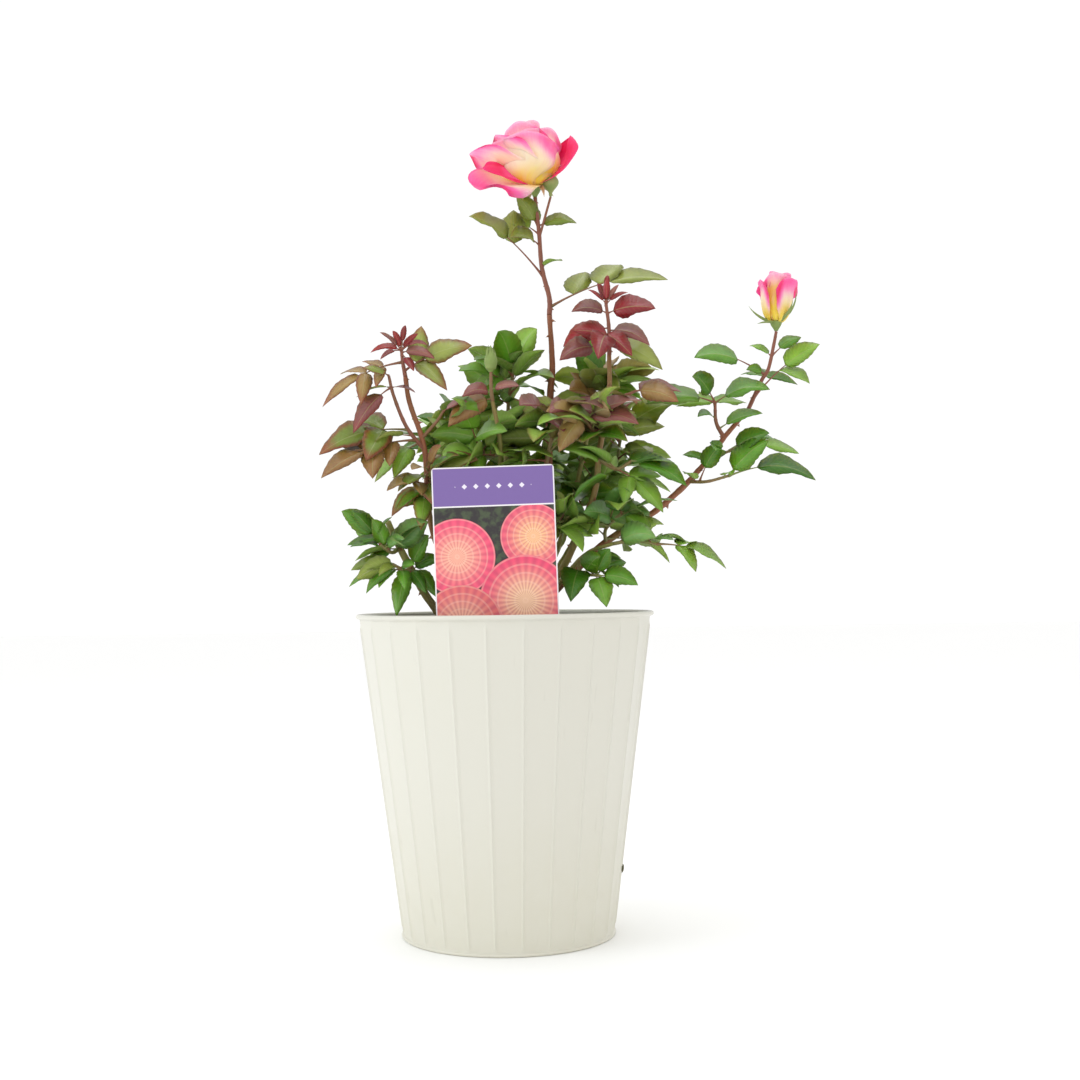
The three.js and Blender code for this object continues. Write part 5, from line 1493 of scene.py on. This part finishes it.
def flower(name, bloom, petals, node):
    """All the petals of one flower, set on its foot as one piece. Those that wrap its axis lean with it;
    the spread ones are rooted a little higher and stay upright."""
    sheets, kinds, charts, blush, gilt = [], [], [], [], []
    tilt = math.radians(bloom["lean"])
    turn = np.array([[math.cos(tilt), 0, math.sin(tilt)], [0, 1, 0], [-math.sin(tilt), 0, math.cos(tilt)]])
    seat = np.array([0, 0, 0.8 * bloom["hip_length"]])
    for shape, flushed, golden, height, *spec in petals:
        inner, outer, chart = shape(*spec)
        points, quads, kind = closed_sheet(inner, outer)
        points = points + [0, 0, height]
        points = points @ turn.T + seat if shape is wrapped_petal else points + seat + [0, 0, PETAL["root"]]
        sheets.append((points + np.array(bloom["foot"]), quads))
        kinds += kind
        charts += [chart.reshape(-1, 2)] * 2
        blush.append(np.full(len(points), flushed))
        gilt.append(np.full(len(points), golden))
    points, quads = gather(sheets)
    made = make(name, points, quads, [petal_inside, petal_outside], np.concatenate(charts),
                {"flush": np.concatenate(blush), "gold": np.concatenate(gilt)}, kinds)
    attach(made, "root")
    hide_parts(node)


OPEN_BLOOM = {"foot": (30.0, -2.0, 619.5), "lean": -10.0, "hip": 5.5, "hip_length": 9.0}
# a petal: how it is laid, its flush and gold, its claw's height above the hip, and then its own sizes
HEART = [
    (wrapped_petal, -0.05, 0.0, 3, 30, 120, 7.5, 50, -0.35, 4.0, 0.8, 0.5),
    (wrapped_petal, -0.1, 0.0, 3, 200, 105, 10, 52, -0.30, 4.0, 1.4, 0.7),
    (wrapped_petal, -0.1, 0.0, 3, 315, 95, 13, 53, -0.25, 4.0, 2.2, 0.8),
    (wrapped_petal, -0.05, 0.0, 3, 100, 92, 16, 52, -0.22, 4.0, 3.0, 1.0),
    (wrapped_petal, 0.0, 0.4, 2, 225, 76, 19, 53, -0.24, 4.0, 4.0, 1.2, 0.2, 14),
    (wrapped_petal, -0.1, 0.0, 1, 52, 74, 21, 45, -0.16, 4.0, 4.0, 1.4, 0.2),
    (wrapped_petal, -0.02, 0.7, 1, 318, 76, 25, 46, -0.18, 3.0, 3.6, 1.6, 0.2, -12),
    (wrapped_petal, 0.0, 0.8, 0, 277, 50, 22, 38, -0.12, 3.0, 0.0, 0.0, 0.3, 0, 0.5, 0.9),
    (wrapped_petal, 0.0, 0.5, 0, 236, 74, 28, 42, 0.06, 3.0, 3.0, 1.6, 0.22),
]
# five stand up round the heart, the fifth deep pink; one is turned down, with a narrow deep pink fold on it
GUARD = [
    (spread_petal, 0.10, 0.0, 0, 210, 54, 58, (78, 14), 0.20, 0.3, 0.4, 0.0),
    (spread_petal, 0.10, 0.0, 0, 192, 61, 62, (82, 52), 0.16, 0.3, 0.4, 0.3),
    (spread_petal, 0.35, 0.0, 0, 112, 52, 48, (76, 24), 0.24, 0.5, 0.4, 0.0),
    (spread_petal, 0.35, 0.0, 0, 42, 48, 46, (76, 8), 0.26, 0.5, 0.4, 0.0),
    (spread_petal, 1.80, -1.2, 0, 355, 53, 40, (76, 2), 0.08, 0.15, 0.8, 1.4),
    (spread_petal, 0.50, 0.3, 0, 205, 56, 64, (88, 103), 0.10, 0.7, 0.45, -1.5),
    (spread_petal, 1.60, -1.0, -1, 222, 59, 17, (80, 91), 0.10, 0.2, 0.8, -2.8),
]
flower("open_rose", OPEN_BLOOM, HEART + GUARD, "bloom_open")

# The half-open bud at the end of the long cane: three petals furled into a column and four wrapped round
# it, yellow at the foot and pink at the rim.
BUD_BLOOM = {"foot": (230.0, -20.0, 500.5), "lean": 2.0, "hip": 5.0, "hip_length": 8.0}
FURLED = [
    (wrapped_petal, 0.25, 0.2, 2, 60, 130, 4.2, 40, 0.0, 3.0, 1.0, 0.4, 0.1, 0, 0.8),
    (wrapped_petal, 0.20, 0.3, 2, 200, 110, 5.6, 41, 0.1, 3.0, 1.6, 0.6, 0.1, 0, 0.8),
    (wrapped_petal, 0.15, 0.5, 1, 320, 100, 7.0, 41, 0.15, 3.0, 2.2, 0.9, 0.1, 0, 0.8),
    (wrapped_petal, -0.05, 2.0, 1, 252, 84, 10.4, 40, -0.08, 2.0, 2.0, 1.0, 0.1, 0, 0.6, 0.6),
    (wrapped_petal, 0.35, 0.8, 1, 90, 80, 11.0, 38, 0.05, 2.0, 2.0, 0.8, 0.16, 0, 0.65, 0.6),
    (wrapped_petal, 0.30, 0.8, 0, 180, 54, 12.6, 36, 0.12, 2.0, 2.0, 0.8, 0.16, 4, 0.6, 0.75),
    (wrapped_petal, 0.46, 0.9, 0, 330, 64, 12.6, 37, 0.16, 2.0, 2.4, 0.9, 0.16, -8, 0.6, 0.75),
]
flower("rose_bud", BUD_BLOOM, FURLED, "bloom_bud")

# The green parts of the flowers: a smooth urn-shaped hip below each, five pointed sepals, which fold down
# from the open bloom and curve off the bud, and two closed buds in their calyces. Blush reddens them up to
# 1, and 2 is the red-brown of an old stalk.
calyx = Paint("calyx_green")
where = calyx.place()
cloud = calyx.noise(where, 90.0, 3.0, 0.6)
fine = calyx.noise(where, 900.0, 3.0)
blush = calyx.value("blush")
colour = calyx.mix(cloud, srgb(104, 132, 58), srgb(146, 160, 92))
colour = calyx.mix((blush + cloud * 0.3 - 0.15).between(0.1, 0.9), colour, srgb(224, 164, 138))
colour = calyx.mix(blush.between(1.0, 2.0), colour, srgb(138, 88, 66))
calyx_green = calyx.finish(colour, 0.5 + fine * 0.15, Normal=calyx.bump(fine, 0.0004, 0.5))


def turned(profile, centre, sides=20):
    """A profile of radius and height, turned round an upright axis through the centre."""
    profile = np.asarray(profile, float)
    turn = np.linspace(0, 2 * math.pi, sides, endpoint=False)
    points = np.stack([profile[:, :1] * np.cos(turn), profile[:, :1] * np.sin(turn),
                       profile[:, 1:] + 0 * turn], -1) + centre
    return points.reshape(-1, 3), grid_quads(len(profile), sides, wrap=True)


def hip_profile(radius, length):
    """An urn: its radius swells from the stalk as sin(5 pi t / 8)^1.4, and is drawn in a little under the
    petals."""
    t = np.linspace(0, 1, 14)
    swell = 0.32 + 0.68 * np.sin(np.clip(t * 1.25, 0, 1) * math.pi / 2) ** 1.4
    rows = np.column_stack([radius * swell * (1 - 0.25 * smooth_step(t, 0.75, 1)), length * 1.15 * t])
    return np.concatenate([[[1e-3, 0]], rows, [[1e-3, length * 1.2]]])


def sepals(foot, height, width, blades):
    """Narrow pointed blades of a bearing, a length and two slopes each: petals drawn in along their length
    as (1 - t)^0.7."""
    rows, columns = 13, 5
    made = []
    t = np.linspace(0, 1, rows)[:, None, None]
    for bearing, length, slopes in blades:
        inner, outer, _ = spread_petal(bearing, length, width, slopes, 0.5, rows=rows, columns=columns)
        middle = inner[:, columns // 2, None]
        shrink = (1 - t) ** 0.7 * 0.94 + 0.06
        inner, outer = (middle + (side - middle) * shrink for side in (inner, outer))
        points, quads, _ = closed_sheet(inner, outer)
        made.append((points + np.asarray(foot) + [0, 0, height], quads))
    return made


def closed_bud(path, at, x, y, z, length, radius, belly=0.62, hip=0.5):
    """A pointed drop on its hip, wrapped by five sepals. Where it stands off its shoot, a stalk is the last
    part. Its radius runs as sin(pi t^belly)^0.9: a larger belly puts its widest part higher."""
    foot = along_curve(path, [at])[0][0]
    base = np.array([x, y, z - length], float)
    t = np.linspace(0, 1, 26)
    drop = np.sin(math.pi * np.clip((t - 0.1) / 0.9, 0, 1) ** belly) ** 0.9
    body = radius * (hip * np.exp(-((t - 0.08) / 0.09) ** 2) + 0.98 * drop)
    parts = [turned(np.column_stack([np.maximum(body, 0.02), length * t]), base)]
    parts += sepals(base, 0.12 * length, 0.85 * radius,
                    [(72 * k + 10, length * (0.9 + 0.1 * (k % 2)), (52, -36)) for k in range(5)])
    if np.linalg.norm(foot - base) > 2:
        spots, ways = bezier(foot, (foot + base) / 2, base, np.linspace(0, 1, 8))
        parts.append(tube(spots, ways, np.linspace(1.1, 1.0, 8), 8))
    return parts


OPEN_SEPALS = [(236, 26, (84, 165)), (196, 22, (84, 120)), (292, 25, (80, 160)), (340, 20, (84, 150)),
               (110, 24, (86, 150))]
BUD_SEPALS = [(186, 29, (88, 30)), (352, 38, (74, -12)), (222, 26, (88, 104)), (312, 27, (88, 8)),
              (80, 28, (70, 10))]
greens = []
for bloom, seat, width, red, blades in (
    (OPEN_BLOOM, 7.5, 8, 0.55, OPEN_SEPALS),
    (BUD_BLOOM, 6.0, 6, 0.15, BUD_SEPALS),
):
    greens.append((turned(hip_profile(bloom["hip"], bloom["hip_length"]), bloom["foot"]), 0.1))
    greens += [(part, red) for part in sepals(bloom["foot"], seat, width, blades)]
*tall_bud, tall_stalk = closed_bud(stem_path(MIDDLE["shoot_bloom"]), 0.72, 43, -8, 638, 20, 7.2, 1.3, 0.2)
greens += [(part, 0.2) for part in tall_bud] + [(tall_stalk, 2.0)]
greens += [(part, 0.1) for part in closed_bud(stem_path(LEFT["shoot_mid_left"]), 1.0, -9, -50, 486, 22, 5.5)]
points, quads = gather([part for part, _ in greens])
calyces = make("hips_and_sepals", points, quads, [calyx_green],
               values={"blush": np.concatenate([np.full(len(part[0]), red) for part, red in greens])})
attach(calyces, "root")
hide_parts("bloom_open", "bloom_bud")
